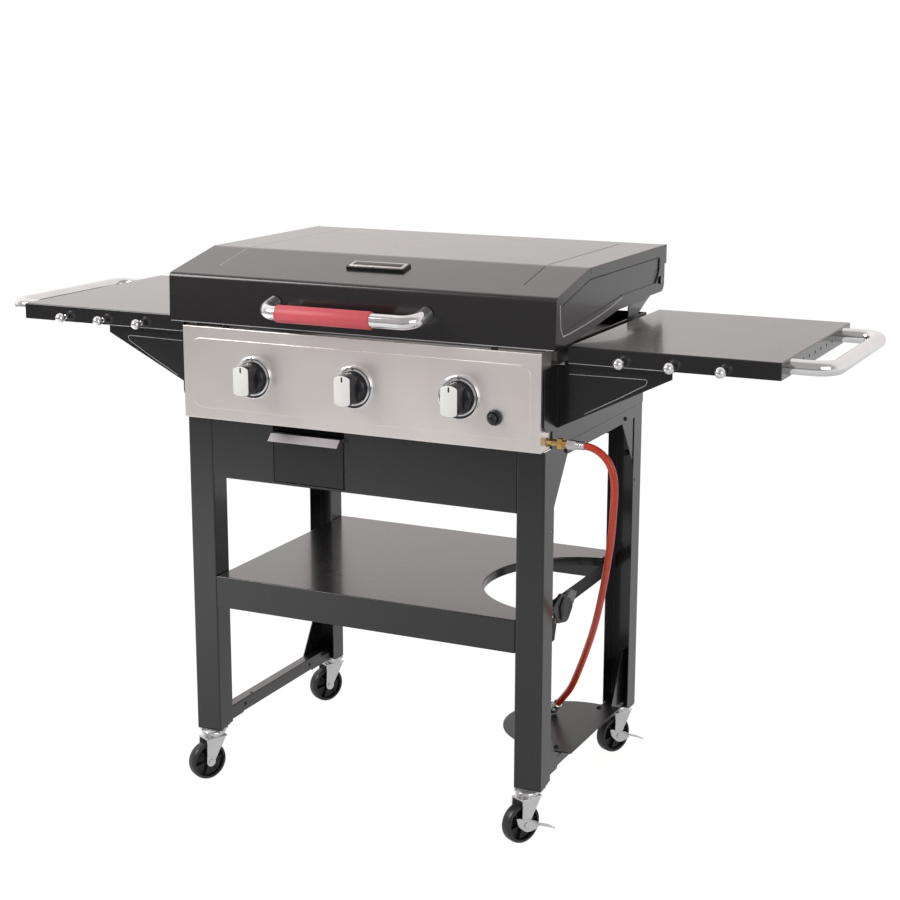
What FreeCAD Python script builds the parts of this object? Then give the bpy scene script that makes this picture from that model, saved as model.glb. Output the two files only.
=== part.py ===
import FreeCAD, Part
import math
import os
import re
import Sketcher

# Outdoor gas griddle station: a sheet steel cart on four swivel casters carries a firebox with three
# burners under a griddle plate, a hinged lid, a control panel, two side shelves and a gas bottle seat.
# Millimetres, +X to the right, +Y to the rear, +Z up; X = 0 is the mid plane.

doc = FreeCAD.newDocument("GriddleStation")
sheet = doc.addObject("Spreadsheet::Sheet", "Sizes")

SIZES = (
    # cart
    ("floor_high", 6, "height of the floor in this drawing"),
    ("sheet_steel", 1.5, "thickness of the folded sheet"),
    ("fold_out", 2.5, "outer radius of the folds"),
    ("fold_in", 1, "inner radius of the folds"),
    ("leg_out", 350, "outer face of the legs from the mid plane"),
    ("leg_wide", 51, "width of a leg channel"),
    ("leg_deep", 43, "depth of a leg channel"),
    ("frame_deep", 239, "front and rear faces of the legs from the frame's middle"),
    ("leg_foot", 102, "height of the leg's lower end"),
    ("leg_head", 703.5, "height of the leg's upper end"),
    ("apron_low", 593.5, "lower edge of the front apron"),
    ("rail_low", 681, "lower edge of the upper side rails"),
    ("shelf_top", 406, "upper face of the lower shelf"),
    ("shelf_lip", 59, "depth of the lower shelf's front and rear lips"),
    ("seat_hole", 181, "radius of the bottle cut-out in the lower shelf"),
    ("seat_reach", 330, "centre of the bottle cut-out from the mid plane"),
    ("tray_round", 125.3, "radius of the bottle tray"),
    ("tray_centre", 305, "centre of the tray's round part"),
    ("tray_edge", 355.5, "straight outer edge of the tray"),
    ("tray_mid", 12.6, "middle of the tray along Y"),
    ("low_rail_in", 315, "inner face of the bottom rails"),
    ("low_rail_wide", 22, "width of the bottom rails"),
    ("low_rail_top", 127, "upper face of the bottom rails"),
    ("low_rail_tall", 24, "height of the bottom rails' inner webs"),
    ("gusset_reach", 129.5, "tip of the lower gussets from the frame's middle"),
    ("gusset_head", 221, "height of the lower gussets' upper ends"),
    # casters
    ("wheel_rad", 36, "wheel radius"),
    ("wheel_half", 11, "half width of the wheels' tyres"),
    ("trail", 15.5, "wheel axle behind the swivel axis"),
    ("caster_turn", 63.5, "angle of the casters in degrees"),
    ("caster_across", 321.7, "swivel axis from the mid plane"),
    ("caster_along", 228.5, "swivel axis from the frame's middle"),
    ("axle_rad", 3.5, "radius of the wheel axles"),
    ("race_high", 91, "top of the swivel races on the forks"),
    ("crown_low", 86, "underside of the forks' crowns"),
    ("fork_half", 15.7, "outer faces of a fork's cheeks from its middle"),
    # firebox and control panel
    ("box_half", 350, "outer face of the firebox sides"),
    ("box_front", 208, "front wall of the firebox ahead of the middle"),
    ("box_rear", 240, "rear wall of the firebox behind the middle"),
    ("box_low", 703.5, "underside of the firebox"),
    ("box_high", 848, "upper edge of the firebox"),
    ("panel_half", 346.5, "half width of the control panel"),
    ("panel_front", 253, "face of the control panel ahead of the middle"),
    ("panel_low", 703.6, "lower edge of the control panel"),
    ("panel_high", 871, "upper edge of the control panel"),
    ("panel_deep", 44.5, "depth of the control panel's side returns"),
    ("panel_press", 0.9, "height of the panel's pressed field"),
    ("field_half", 328, "half width of the pressed field"),
    ("field_low", 724, "lower edge of the pressed field"),
    ("field_high", 850, "upper edge of the pressed field"),
    ("knob_pitch", 200.5, "distance between the knobs"),
    ("knob_high", 787, "height of the knob axes"),
    ("bezel_rad", 38, "radius of the knob bezels"),
    ("igniter_across", 265, "igniter from the mid plane"),
    ("igniter_high", 758, "height of the igniter"),
    # griddle plate
    ("griddle_half", 360, "half width of the griddle plate"),
    ("griddle_top", 853.5, "cooking surface"),
    ("griddle_rim", 877, "top of the griddle's walls"),
    ("griddle_rear", 215, "rear wall of the griddle"),
    ("griddle_wall", 4, "thickness of the griddle's walls"),
    # lid
    ("lid_half", 372, "half width of the lid"),
    ("lid_skin", 1.5, "thickness of the lid's sheet"),
    ("lid_low", 877, "lower edge of the lid"),
    ("lid_front", 255, "lower front edge of the lid ahead of the middle"),
    ("lid_brow", 962.6, "height of the lid's front edge"),
    ("lid_crease", 102.3, "crease ahead of the middle"),
    ("lid_top", 996, "top of the lid"),
    ("lid_rear", 289, "rear face of the lid"),
    ("pivot_rear", 258, "lid pivot behind the middle"),
    ("pivot_high", 932.5, "height of the lid pivot"),
    ("side_press", 2, "depth of the pressed fields in the lid's sides"),
    ("handle_half", 148, "half distance between the handle's feet"),
    ("handle_out", 300, "handle axis ahead of the middle"),
    ("handle_reach", 45.7, "length of the handle's legs"),
    ("handle_high", 912, "height of the handle axis"),
    ("tube_rad", 12.7, "radius of the handle tubes"),
    ("grip_rad", 15.3, "radius of the lid handle's grip"),
    ("grip_left", -126, "left end of the grip"),
    ("grip_right", 50, "right end of the grip"),
    # side shelves
    ("wing_in", 375, "inner edge of the side shelves"),
    ("wing_out", 733, "outer edge of the side shelves"),
    ("wing_front", -207, "front edge of the side shelves"),
    ("wing_rear", 245, "rear edge of the side shelves"),
    ("wing_top", 879.5, "upper face of the side shelves"),
    ("wing_skirt", 29, "depth of the side shelves' skirts"),
    ("bar_out", 802, "axis of the shelf handles from the mid plane"),
    ("bar_front", -152, "front foot of the shelf handles"),
    ("bar_rear", 190, "rear foot of the shelf handles"),
    ("bar_high", 865, "height of the shelf handles"),
    ("brace_along", 190, "shelf braces ahead of and behind the middle"),
    ("brace_out", 550, "outer tip of the shelf braces"),
    ("brace_low", 736, "lower end of the shelf braces"),
    ("brace_press", 1.2, "height of the braces' pressed fields"),
    # grease cup
    ("cup_left", -169.5, "left side of the grease cup"),
    ("cup_right", -30.5, "right side of the grease cup"),
    ("cup_low", 600, "underside of the grease cup"),
    ("cup_high", 690, "rim of the grease cup"),
    ("cup_deep", 140, "length of the grease cup"),
    ("cup_sheet", 1.2, "thickness of the grease cup's sheet"),
    ("chute_left", -131, "left side of the grease chute"),
    ("chute_right", -69, "right side of the grease chute"),
    ("chute_front", -226, "front of the grease chute"),
    ("chute_rear", -209.5, "rear of the grease chute"),
    # gas line
    ("pipe_along", -236, "axis of the manifold along Y"),
    ("pipe_rad", 7, "radius of the manifold pipe"),
    ("drop_across", 232, "axis of the manifold's falling end from the mid plane"),
    ("inlet_in", 342, "inner end of the brass inlet"),
    ("inlet_along", -222, "gas inlet along Y"),
    ("inlet_high", 718, "height of the gas inlet"),
    ("inlet_out", 371, "outer end of the brass inlet"),
    ("hose_rad", 6.2, "radius of the gas hose"),
)
size = {}
for row, (name, value, meaning) in enumerate(SIZES, 1):
    sheet.set("A%d" % row, str(value))
    sheet.setAlias("A%d" % row, name)
    sheet.set("B%d" % row, meaning)
    size[name] = value
doc.recompute()

WORD = re.compile(r"[a-z]+(?:_[a-z]+)+|trail")
parts = {}


def bind(expression):
    """Puts the sheet's name before each alias of an expression."""
    return WORD.sub(lambda word: "Sizes." + word.group(0), str(expression))


def new_body(name):
    """An empty body that becomes the node of that name."""
    body = doc.addObject("PartDesign::Body", name)
    body.Label = name
    parts[name] = body
    return body


def new_sketch(body, role, offset="0"):
    """A sketch on a plane of the body's own origin, moved along its normal: XZ faces -Y."""
    sketch = body.newObject("Sketcher::SketchObject", body.Name + "_sketch")
    plane = [item for item in body.Origin.OriginFeatures if item.Role == role + "_Plane"][0]
    sketch.AttachmentSupport = [(plane, "")]
    sketch.MapMode = "FlatFace"
    sketch.setExpression(".AttachmentOffset.Base.z", bind(offset))
    return sketch


def pin_point(sketch, geometry, end, across, up):
    """Holds a point of the sketch at two expressions measured from its origin."""
    for kind, expression in (("DistanceX", across), ("DistanceY", up)):
        index = sketch.addConstraint(Sketcher.Constraint(kind, -1, 1, geometry, end, 1.0))
        sketch.setExpression("Constraints[%d]" % index, bind(expression))


def add_outline(sketch, points):
    """A closed outline of straight lines through points given as pairs of expressions."""
    first = sketch.GeometryCount
    count = len(points)
    ring = [
        FreeCAD.Vector(90 * math.cos(2 * math.pi * step / count), 90 * math.sin(2 * math.pi * step / count), 0)
        for step in range(count)
    ]
    for step in range(count):
        sketch.addGeometry(Part.LineSegment(ring[step], ring[(step + 1) % count]), False)
    for step in range(count):
        after = first + (step + 1) % count
        sketch.addConstraint(Sketcher.Constraint("Coincident", first + step, 2, after, 1))
    for step, (across, up) in enumerate(points):
        pin_point(sketch, first + step, 1, across, up)


def add_circle(sketch, across, up, radius):
    """A circle whose centre and radius are expressions."""
    index = sketch.addGeometry(Part.Circle(FreeCAD.Vector(1, 1, 0), FreeCAD.Vector(0, 0, 1), 5), False)
    pin_point(sketch, index, 3, across, up)
    rule = sketch.addConstraint(Sketcher.Constraint("Radius", index, 5.0))
    sketch.setExpression("Constraints[%d]" % rule, bind(radius))


def feature(body, kind, sketch, length, reverse=False):
    """A pad or pocket of the sketch by a length."""
    item = body.newObject("PartDesign::" + kind, body.Name + "_" + kind.lower())
    item.Profile = sketch
    item.setExpression("Length", bind(length))
    item.Reversed = reverse
    return item


def pad(body, role, offset, length, outlines=(), circles=(), reverse=False):
    """Adds a slab whose outlines and circles lie on a plane of the origin."""
    sketch = new_sketch(body, role, offset)
    for points in outlines:
        add_outline(sketch, points)
    for across, up, radius in circles:
        add_circle(sketch, across, up, radius)
    return feature(body, "Pad", sketch, length, reverse)


def cut(body, role, offset, length, outlines=(), circles=(), reverse=False):
    """Cuts a slab; unlike a pad it runs against the plane's normal unless reversed."""
    doc.recompute()
    before = body.Shape.Volume
    sketch = new_sketch(body, role, offset)
    for points in outlines:
        add_outline(sketch, points)
    for across, up, radius in circles:
        add_circle(sketch, across, up, radius)
    item = feature(body, "Pocket", sketch, length, reverse)
    doc.recompute()
    assert body.Shape.Volume < before, body.Label + ": a cut-out removed nothing"
    return item


def box(left, low, right, high):
    """The four corners of a rectangle."""
    return [(left, low), (right, low), (right, high), (left, high)]


def spin(body, points, turn_axis, role="XZ", offset="0"):
    """Revolves an outline about the sketch's H (horizontal) or V (vertical) axis."""
    sketch = new_sketch(body, role, offset)
    add_outline(sketch, points)
    item = body.newObject("PartDesign::Revolution", body.Name + "_turned")
    item.Profile = sketch
    item.ReferenceAxis = (sketch, [turn_axis + "_Axis"])
    item.Angle = 360
    return item


def round_edges(body, radius, chosen):
    """Rounds the edges of the body's last feature for which chosen(edge) is true."""
    doc.recompute()
    names = ["Edge%d" % number for number, edge in enumerate(body.Shape.Edges, 1) if chosen(edge)]
    assert names, body.Label + ": no edge to round"
    base = body.Tip
    item = body.newObject("PartDesign::Fillet", body.Name + "_round")
    item.Base = (base, names)
    item.setExpression("Radius", bind(radius))
    doc.recompute()
    assert "Invalid" not in item.State, body.Label + ": an edge was not rounded"
    return item


def edge_at(edge, direction, **place):
    """True for a straight edge along an axis whose middle has the coordinates given."""
    if not isinstance(edge.Curve, Part.Line):
        return False
    along = edge.tangentAt(edge.FirstParameter)
    if abs(abs(getattr(along, direction)) - 1) > 1e-6:
        return False
    middle = edge.CenterOfMass
    return all(abs(getattr(middle, axis) - value) < 0.05 for axis, value in place.items())


def fold(body, direction, outside=(), inside=()):
    """Rounds fold lines along one axis; each is given by its place across that axis."""
    for radius, places in (("fold_out", outside), ("fold_in", inside)):
        if places:
            round_edges(body, radius, lambda edge: any(edge_at(edge, direction, **place) for place in places))


def mirror(name, source, normal):
    """The mirror image of a piece in a plane through the origin."""
    item = doc.addObject("Part::Mirroring", name)
    item.Label = name
    item.Source = source
    item.Base = FreeCAD.Vector(0, 0, 0)
    item.Normal = normal
    parts[name] = item
    return item


SIDEWAYS = FreeCAD.Vector(1, 0, 0)
LENGTHWAYS = FreeCAD.Vector(0, 1, 0)
TURN_TO = {"x": FreeCAD.Rotation(FreeCAD.Vector(0, 1, 0), 90), "y": FreeCAD.Rotation(FreeCAD.Vector(1, 0, 0), -90)}


def rod(name, axis, start, radius, length):
    """A round bar from a start point along +X, +Y or +Z; start and sizes are expressions."""
    item = doc.addObject("Part::Cylinder", name)
    item.setExpression("Radius", bind(radius))
    item.setExpression("Height", bind(length))
    item.Placement = FreeCAD.Placement(FreeCAD.Vector(0, 0, 0), TURN_TO.get(axis, FreeCAD.Rotation()))
    for letter, expression in zip("xyz", start):
        item.setExpression(".Placement.Base." + letter, bind(expression))
    return item


def ball(name, start, radius):
    """A ball at a point given as expressions."""
    item = doc.addObject("Part::Sphere", name)
    item.setExpression("Radius", bind(radius))
    for letter, expression in zip("xyz", start):
        item.setExpression(".Placement.Base." + letter, bind(expression))
    return item


def hex_bar(name, axis, start, flat_radius, length):
    """A six-sided bar from a start point along an axis."""
    item = doc.addObject("Part::Prism", name)
    item.Polygon = 6
    item.setExpression("Circumradius", bind(flat_radius))
    item.setExpression("Height", bind(length))
    item.Placement = FreeCAD.Placement(FreeCAD.Vector(0, 0, 0), TURN_TO.get(axis, FreeCAD.Rotation()))
    for letter, expression in zip("xyz", start):
        item.setExpression(".Placement.Base." + letter, bind(expression))
    return item


def fuse(name, pieces):
    """One solid from overlapping pieces."""
    item = doc.addObject("Part::MultiFuse", name)
    item.Shapes = pieces
    item.Refine = True
    item.Label = name
    return item


def group(name, pieces):
    """Separate solids that share one node."""
    item = doc.addObject("Part::Compound", name)
    item.Links = pieces
    item.Label = name
    parts[name] = item
    return item


def four_corners(name, source):
    """A piece and its mirror images in both middle planes."""
    copies = [source]
    for letter, index, normal in (("a", 0, LENGTHWAYS), ("b", 0, SIDEWAYS), ("c", 1, SIDEWAYS)):
        other = doc.addObject("Part::Mirroring", "%s_%s" % (name, letter))
        other.Source = copies[index]
        other.Normal = normal
        copies.append(other)
    return copies


def single(name, piece):
    """Makes a fused or primitive piece the node of that name."""
    piece.Label = name
    parts[name] = piece
    return piece


def bent_bar(name, role, offset, foot, reach, near, far, bend, radius, wall, to_left=False):
    """A round tube bent to a U: two feet at near and far on the line foot, joined at the line reach."""
    body = new_body(name)
    path = new_sketch(body, role, offset)
    doc.recompute()
    sign = -1.0 if to_left else 1.0
    low, high, start, out = -100.0, 100.0, 0.0, sign * 200.0
    turn = 30.0
    corners = [
        (start, low), (out - sign * turn, low), (out, low + turn), (out, high - turn),
        (out - sign * turn, high), (start, high),
    ]
    points = [FreeCAD.Vector(across, up, 0) for across, up in corners]
    centre_low = FreeCAD.Vector(out - sign * turn, low + turn, 0)
    centre_high = FreeCAD.Vector(out - sign * turn, high - turn, 0)
    upward = FreeCAD.Vector(0, 0, 1)
    path.addGeometry(Part.LineSegment(points[0], points[1]), False)
    low_span = (-math.pi / 2, 0.0) if not to_left else (math.pi, 3 * math.pi / 2)
    path.addGeometry(Part.ArcOfCircle(Part.Circle(centre_low, upward, turn), *low_span), False)
    path.addGeometry(Part.LineSegment(points[2], points[3]), False)
    high_span = (0.0, math.pi / 2) if not to_left else (math.pi / 2, math.pi)
    path.addGeometry(Part.ArcOfCircle(Part.Circle(centre_high, upward, turn), *high_span), False)
    path.addGeometry(Part.LineSegment(points[4], points[5]), False)
    low_ends = (1, 2) if not to_left else (2, 1)
    high_ends = (1, 2) if not to_left else (2, 1)
    path.addConstraint(Sketcher.Constraint("Tangent", 0, 2, 1, low_ends[0]))
    path.addConstraint(Sketcher.Constraint("Tangent", 2, 1, 1, low_ends[1]))
    path.addConstraint(Sketcher.Constraint("Tangent", 2, 2, 3, high_ends[0]))
    path.addConstraint(Sketcher.Constraint("Tangent", 4, 1, 3, high_ends[1]))
    path.addConstraint(Sketcher.Constraint("Horizontal", 0))
    path.addConstraint(Sketcher.Constraint("Vertical", 2))
    path.addConstraint(Sketcher.Constraint("Horizontal", 4))
    pin_point(path, 0, 1, foot, near)
    pin_point(path, 4, 2, foot, far)
    rule = path.addConstraint(Sketcher.Constraint("DistanceX", -1, 1, 2, 1, out))
    path.setExpression("Constraints[%d]" % rule, bind(reach))
    for arc in (1, 3):
        rule = path.addConstraint(Sketcher.Constraint("Radius", arc, turn))
        path.setExpression("Constraints[%d]" % rule, bind(bend))
    ring = new_sketch(body, "YZ", foot)
    add_circle(ring, near, offset, radius)
    add_circle(ring, near, offset, "%s - %s" % (radius, wall))
    item = body.newObject("PartDesign::AdditivePipe", name + "_pipe")
    item.Profile = ring
    item.Spine = (path, ["Edge%d" % number for number in range(1, 6)])
    return body


# The cart's frame

def make_legs():
    """A folded channel, open towards the frame's middle, with a stepped foot and a small hole."""
    leg = new_body("leg_front_right")
    inner = "leg_out - leg_wide"
    pad(leg, "XY", "leg_foot", "leg_head - leg_foot", [[
        (inner, "-frame_deep"), ("leg_out", "-frame_deep"), ("leg_out", "leg_deep - frame_deep"),
        ("leg_out - sheet_steel", "leg_deep - frame_deep"), ("leg_out - sheet_steel", "sheet_steel - frame_deep"),
        (inner + " + sheet_steel", "sheet_steel - frame_deep"),
        (inner + " + sheet_steel", "leg_deep - frame_deep"), (inner, "leg_deep - frame_deep"),
    ]])
    right, left = size["leg_out"], size["leg_out"] - size["leg_wide"]
    front, skin = -size["frame_deep"], size["sheet_steel"]
    fold(leg, "z", [dict(x=left, y=front), dict(x=right, y=front)],
         [dict(x=left + skin, y=front + skin), dict(x=right - skin, y=front + skin)])
    back = "leg_deep - frame_deep + 1"
    cut(leg, "YZ", "leg_out + 5", "leg_wide + 10", [[
        ("-frame_deep + 9", "leg_foot - 1"), (back, "leg_foot - 1"), (back, "leg_foot + 5"),
        ("leg_deep - frame_deep - 9", "leg_foot + 5"), ("leg_deep - frame_deep - 11", "leg_foot + 3"),
        ("-frame_deep + 12", "leg_foot + 3"),
    ]])
    cut(leg, "YZ", "leg_out + 5", "20", circles=[("leg_deep - frame_deep - 8", "560", "2.5")])
    mirror("leg_front_left", leg, SIDEWAYS)
    rear = mirror("leg_rear_right", leg, LENGTHWAYS)
    mirror("leg_rear_left", rear, SIDEWAYS)


def make_aprons():
    """The front apron has a window for the grease cup; the rear one is plain. Both have folded edges."""
    front = new_body("front_apron")
    pad(front, "YZ", "-(leg_out - leg_wide)", "2 * (leg_out - leg_wide)", [[
        ("-frame_deep", "apron_low"), ("-frame_deep + 14", "apron_low"),
        ("-frame_deep + 14", "apron_low + sheet_steel"),
        ("-frame_deep + sheet_steel", "apron_low + sheet_steel"),
        ("-frame_deep + sheet_steel", "leg_head - sheet_steel"), ("-frame_deep + 20", "leg_head - sheet_steel"),
        ("-frame_deep + 20", "leg_head"), ("-frame_deep", "leg_head"),
    ]])
    skin = size["sheet_steel"]
    face, low, high = -size["frame_deep"], size["apron_low"], size["leg_head"]
    fold(front, "x", [dict(y=face, z=low), dict(y=face, z=high)],
         [dict(y=face + skin, z=low + skin), dict(y=face + skin, z=high - skin)])
    cut(front, "XZ", "frame_deep + 5", "30", [box("cup_left - 2.5", "cup_low - 2", "cup_right + 2.5", "cup_high + 4")])
    cut(front, "XY", "leg_head + 1", "5", [
        box("chute_left - 1", "chute_front - 1", "chute_right + 1", "-frame_deep + 21")
    ])
    rear = new_body("rear_rail")
    pad(rear, "YZ", "-(leg_out - leg_wide)", "2 * (leg_out - leg_wide)", [[
        ("frame_deep", "leg_head - 64"), ("frame_deep - 16", "leg_head - 64"),
        ("frame_deep - 16", "leg_head - 64 + sheet_steel"),
        ("frame_deep - sheet_steel", "leg_head - 64 + sheet_steel"),
        ("frame_deep - sheet_steel", "leg_head - sheet_steel"), ("frame_deep - 20", "leg_head - sheet_steel"),
        ("frame_deep - 20", "leg_head"), ("frame_deep", "leg_head"),
    ]])
    fold(rear, "x", [dict(y=-face, z=high - 64), dict(y=-face, z=high)],
         [dict(y=-face - skin, z=high - 64 + skin), dict(y=-face - skin, z=high - skin)])


def make_side_rails():
    """Two folded angles under the firebox, between the legs, flush with their outer faces."""
    right = new_body("side_rail_blank")
    del parts["side_rail_blank"]
    pad(right, "XZ", "frame_deep - leg_deep", "2 * (frame_deep - leg_deep)", [[
        ("leg_out - sheet_steel", "rail_low"), ("leg_out", "rail_low"), ("leg_out", "leg_head"),
        ("leg_out - 22", "leg_head"), ("leg_out - 22", "leg_head - sheet_steel"),
        ("leg_out - sheet_steel", "leg_head - sheet_steel"),
    ]], reverse=True)
    fold(right, "y", [dict(x=size["leg_out"], z=size["leg_head"])])
    left = doc.addObject("Part::Mirroring", "side_rail_other")
    left.Source = right
    left.Normal = SIDEWAYS
    group("side_rails", [right, left])


def make_gussets():
    """Corner plates: four with a pressing at the side rails, four with a flange at the bottom rails."""
    plate = new_body("gusset_blank")
    del parts["gusset_blank"]
    front = "-frame_deep + 5"
    pad(plate, "YZ", "leg_out - 2 * sheet_steel", "sheet_steel", [[
        (front, "590"), ("leg_deep - frame_deep - 3", "590"), ("-134", "rail_low"), ("-134", "leg_head - 4"),
        (front, "leg_head - 4"),
    ]])
    pad(plate, "YZ", "leg_out - 2 * sheet_steel - 2", "2", [[
        ("-frame_deep + 30", "620"), ("leg_deep - frame_deep + 1", "620"), ("-159", "666"),
        ("-frame_deep + 30", "666"),
    ]])
    round_edges(plate, "5", lambda edge: edge_at(edge, "x", x=size["leg_out"] - 2 * size["sheet_steel"] - 1))
    low = new_body("low_gusset_blank")
    del parts["low_gusset_blank"]
    web = "-frame_deep + sheet_steel"
    outer = "low_rail_in + low_rail_wide"
    foot = "low_rail_top - 21.5"
    pad(low, "YZ", outer, "sheet_steel", [[
        (web, foot), ("-gusset_reach - 8", foot), ("-gusset_reach", foot + " + 7.5"),
        ("leg_deep - frame_deep", "gusset_head"), (web, "gusset_head"),
    ]])
    pad(low, "XZ", "frame_deep - 2 * sheet_steel", "sheet_steel", [
        box(outer, foot, "leg_out - 2 * sheet_steel", "gusset_head")
    ])
    copies = four_corners("gusset", plate) + four_corners("low_gusset", low)
    group("corner_gussets", copies)


def make_bottom_rails():
    """Two folded channels, open below, between the webs of the legs; the inner webs are deeper."""
    rail = new_body("bottom_rail_blank")
    del parts["bottom_rail_blank"]
    outer = "low_rail_in + low_rail_wide"
    low = "low_rail_top - low_rail_tall"
    pad(rail, "XZ", "frame_deep - sheet_steel", "2 * (frame_deep - sheet_steel)", [[
        ("low_rail_in", low), ("low_rail_in + sheet_steel", low),
        ("low_rail_in + sheet_steel", "low_rail_top - sheet_steel"),
        (outer + " - sheet_steel", "low_rail_top - sheet_steel"), (outer + " - sheet_steel", low + " + 6"),
        (outer, low + " + 6"), (outer, "low_rail_top"), ("low_rail_in", "low_rail_top"),
    ]], reverse=True)
    high = size["low_rail_top"]
    fold(rail, "y", [dict(x=size["low_rail_in"], z=high), dict(x=size["low_rail_in"] + size["low_rail_wide"], z=high)])
    pad(rail, "YZ", "low_rail_in", "sheet_steel", [
        box("-caster_along + 26", low + " - 2.5", "-132", low + " + 2"),
        box("132", low + " - 2.5", "caster_along - 26", low + " + 2"),
    ])
    cut(rail, "YZ", "low_rail_in - 1", "4", circles=[
        ("-124", "low_rail_top - 12", "3.5"), ("124", "low_rail_top - 12", "3.5"),
    ], reverse=True)
    cut(rail, "XY", "low_rail_top + 5", "20", circles=[
        ("low_rail_in + 5", "tray_mid - 108", "3.2"), ("low_rail_in + 5", "tray_mid + 108", "3.2"),
    ])
    left = doc.addObject("Part::Mirroring", "bottom_rail_other")
    left.Source = rail
    left.Normal = SIDEWAYS
    group("bottom_rails", [rail, left])


def make_tank_tray():
    """A flat tray, round towards the inside, that carries the foot of the gas bottle."""
    tray = new_body("tank_tray")
    pad(tray, "XY", "low_rail_top", "sheet_steel", circles=[("tray_centre", "tray_mid", "tray_round")])
    pad(tray, "XY", "low_rail_top", "sheet_steel", [
        box("tray_centre", "tray_mid - tray_round", "tray_edge", "tray_mid + tray_round")
    ])
    cut(tray, "XY", "low_rail_top + 5", "20", [
        box("tray_edge", "tray_mid - tray_round - 5", "tray_edge + 200", "tray_mid + tray_round + 5")
    ])
    cut(tray, "XY", "low_rail_top + 5", "20", circles=[
        ("low_rail_in + 5", "tray_mid - 108", "3.2"), ("low_rail_in + 5", "tray_mid + 108", "3.2"),
    ])


def make_lower_shelf():
    """A pan turned down on all sides, with a flanged cut-out for the bottle that is open to the right."""
    shelf = new_body("lower_shelf")
    side = "leg_out - leg_wide - 0.5"
    pad(shelf, "XY", "shelf_top - shelf_lip", "shelf_lip", [
        box("-(%s)" % side, "-frame_deep", side, "frame_deep")
    ])
    inner = "leg_out - leg_wide - 0.5 - sheet_steel"
    deep = "frame_deep - sheet_steel"
    cut(shelf, "XY", "shelf_top - shelf_lip", "shelf_lip - sheet_steel", [
        box("-(%s)" % inner, "-(%s)" % deep, inner, deep)
    ], reverse=True)
    cut(shelf, "YZ", "leg_out", "2 * leg_out", [
        box("-(%s)" % deep, "shelf_top - shelf_lip - 1", deep, "shelf_top - 20")
    ])
    pad(shelf, "XY", "shelf_top - 16", "16", circles=[("seat_reach", "0", "seat_hole + sheet_steel")])
    cut(shelf, "XY", "shelf_top + 1", "40", circles=[("seat_reach", "0", "seat_hole")])
    cut(shelf, "XY", "shelf_top + 1", "80", [box(side, "-frame_deep - 5", "leg_out + 300", "frame_deep + 5")])
    round_edges(shelf, "fold_out - 0.3", lambda edge: abs(edge.CenterOfMass.z - size["shelf_top"]) < 0.01)


def make_strap():
    """A webbing strap across the mouth of the bottle cut-out, with a cam buckle and a hanging end."""
    low = "368"
    high = "398"
    inner = "leg_out - leg_wide + sheet_steel"
    band = new_body("strap_band")
    del parts["strap_band"]
    pad(band, "YZ", inner, "1.6", [box("-226", low, "226", high)])
    tail = new_body("strap_tail")
    del parts["strap_tail"]
    pad(tail, "YZ", inner + " + 4", "1.6", [[("-58", "326"), ("-36", "322"), ("-26", "358"), ("-48", "362")]])
    group("tank_strap", [band, tail])
    buckle = new_body("strap_buckle")
    pad(buckle, "YZ", inner + " + 1.8", "10", [[
        ("-52", "364"), ("-38", "338"), ("-8", "334"), ("8", "352"), ("4", "396"), ("-44", "400"),
    ]])
    cut(buckle, "YZ", inner + " + 7.8", "4.2", [box("-46", "350", "-24", "366")])
    cut(buckle, "YZ", inner + " + 1.8", "4.4", [box("-60", "325", "-20", "366")], reverse=True)


def make_frame_bolts():
    """Flange bolts that hold rails, gussets, aprons, tray and strap: a head with a short shank."""
    heads = []
    places = []
    for side in (1, -1):
        for end in (1, -1):
            places.append((side, end * 148, 691))
            places.append((side, end * 226, 645))
            places.append((side, end * 226, 612))
    for number, (side, along, up) in enumerate(places):
        start = "leg_out" if side > 0 else "-leg_out - 3"
        heads.append(rod("side_bolt_%d" % number, "x", (start, str(along), str(up)), "4.5", "3"))
    for number, end in enumerate((-1, 1)):
        start = ("low_rail_in + 5", "tray_mid + %d" % (108 * end), "low_rail_top - 6")
        shank = rod("tray_shank_%d" % number, "z", start, "3", "8")
        head = rod("tray_head_%d" % number, "z", start[:2] + ("low_rail_top + sheet_steel",), "5.5", "3")
        heads.append(fuse("tray_bolt_%d" % number, [shank, head]))
    group("frame_bolts", heads)


# The firebox, its burners and the gas line

def make_firebox():
    """An open steel box with a vented floor, openings for the burner tubes and slots at the rear."""
    fire = new_body("firebox")
    pad(fire, "XY", "box_low", "box_high - box_low", [box("-box_half", "-box_front", "box_half", "box_rear")])
    cut(fire, "XY", "box_high", "box_high - box_low - sheet_steel", [box(
        "-box_half + sheet_steel", "-box_front + sheet_steel", "box_half - sheet_steel", "box_rear - sheet_steel"
    )])
    cut(fire, "XZ", "box_front + 5", "20", circles=[
        ("-knob_pitch", "knob_high", "11"), ("0", "knob_high", "11"), ("knob_pitch", "knob_high", "11"),
    ])
    slots = []
    for step in range(5):
        left = -260 + 110 * step
        slots.append(box(str(left), "box_high - 34", str(left + 80), "box_high - 24"))
    cut(fire, "XZ", "-box_rear + 10", "20", slots)
    floor = []
    for step in range(4):
        left = -270 + 150 * step
        floor.append(box(str(left), "-60", str(left + 90), "-40"))
        floor.append(box(str(left), "60", str(left + 90), "80"))
    cut(fire, "XY", "box_low + 10", "20", floor)


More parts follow.
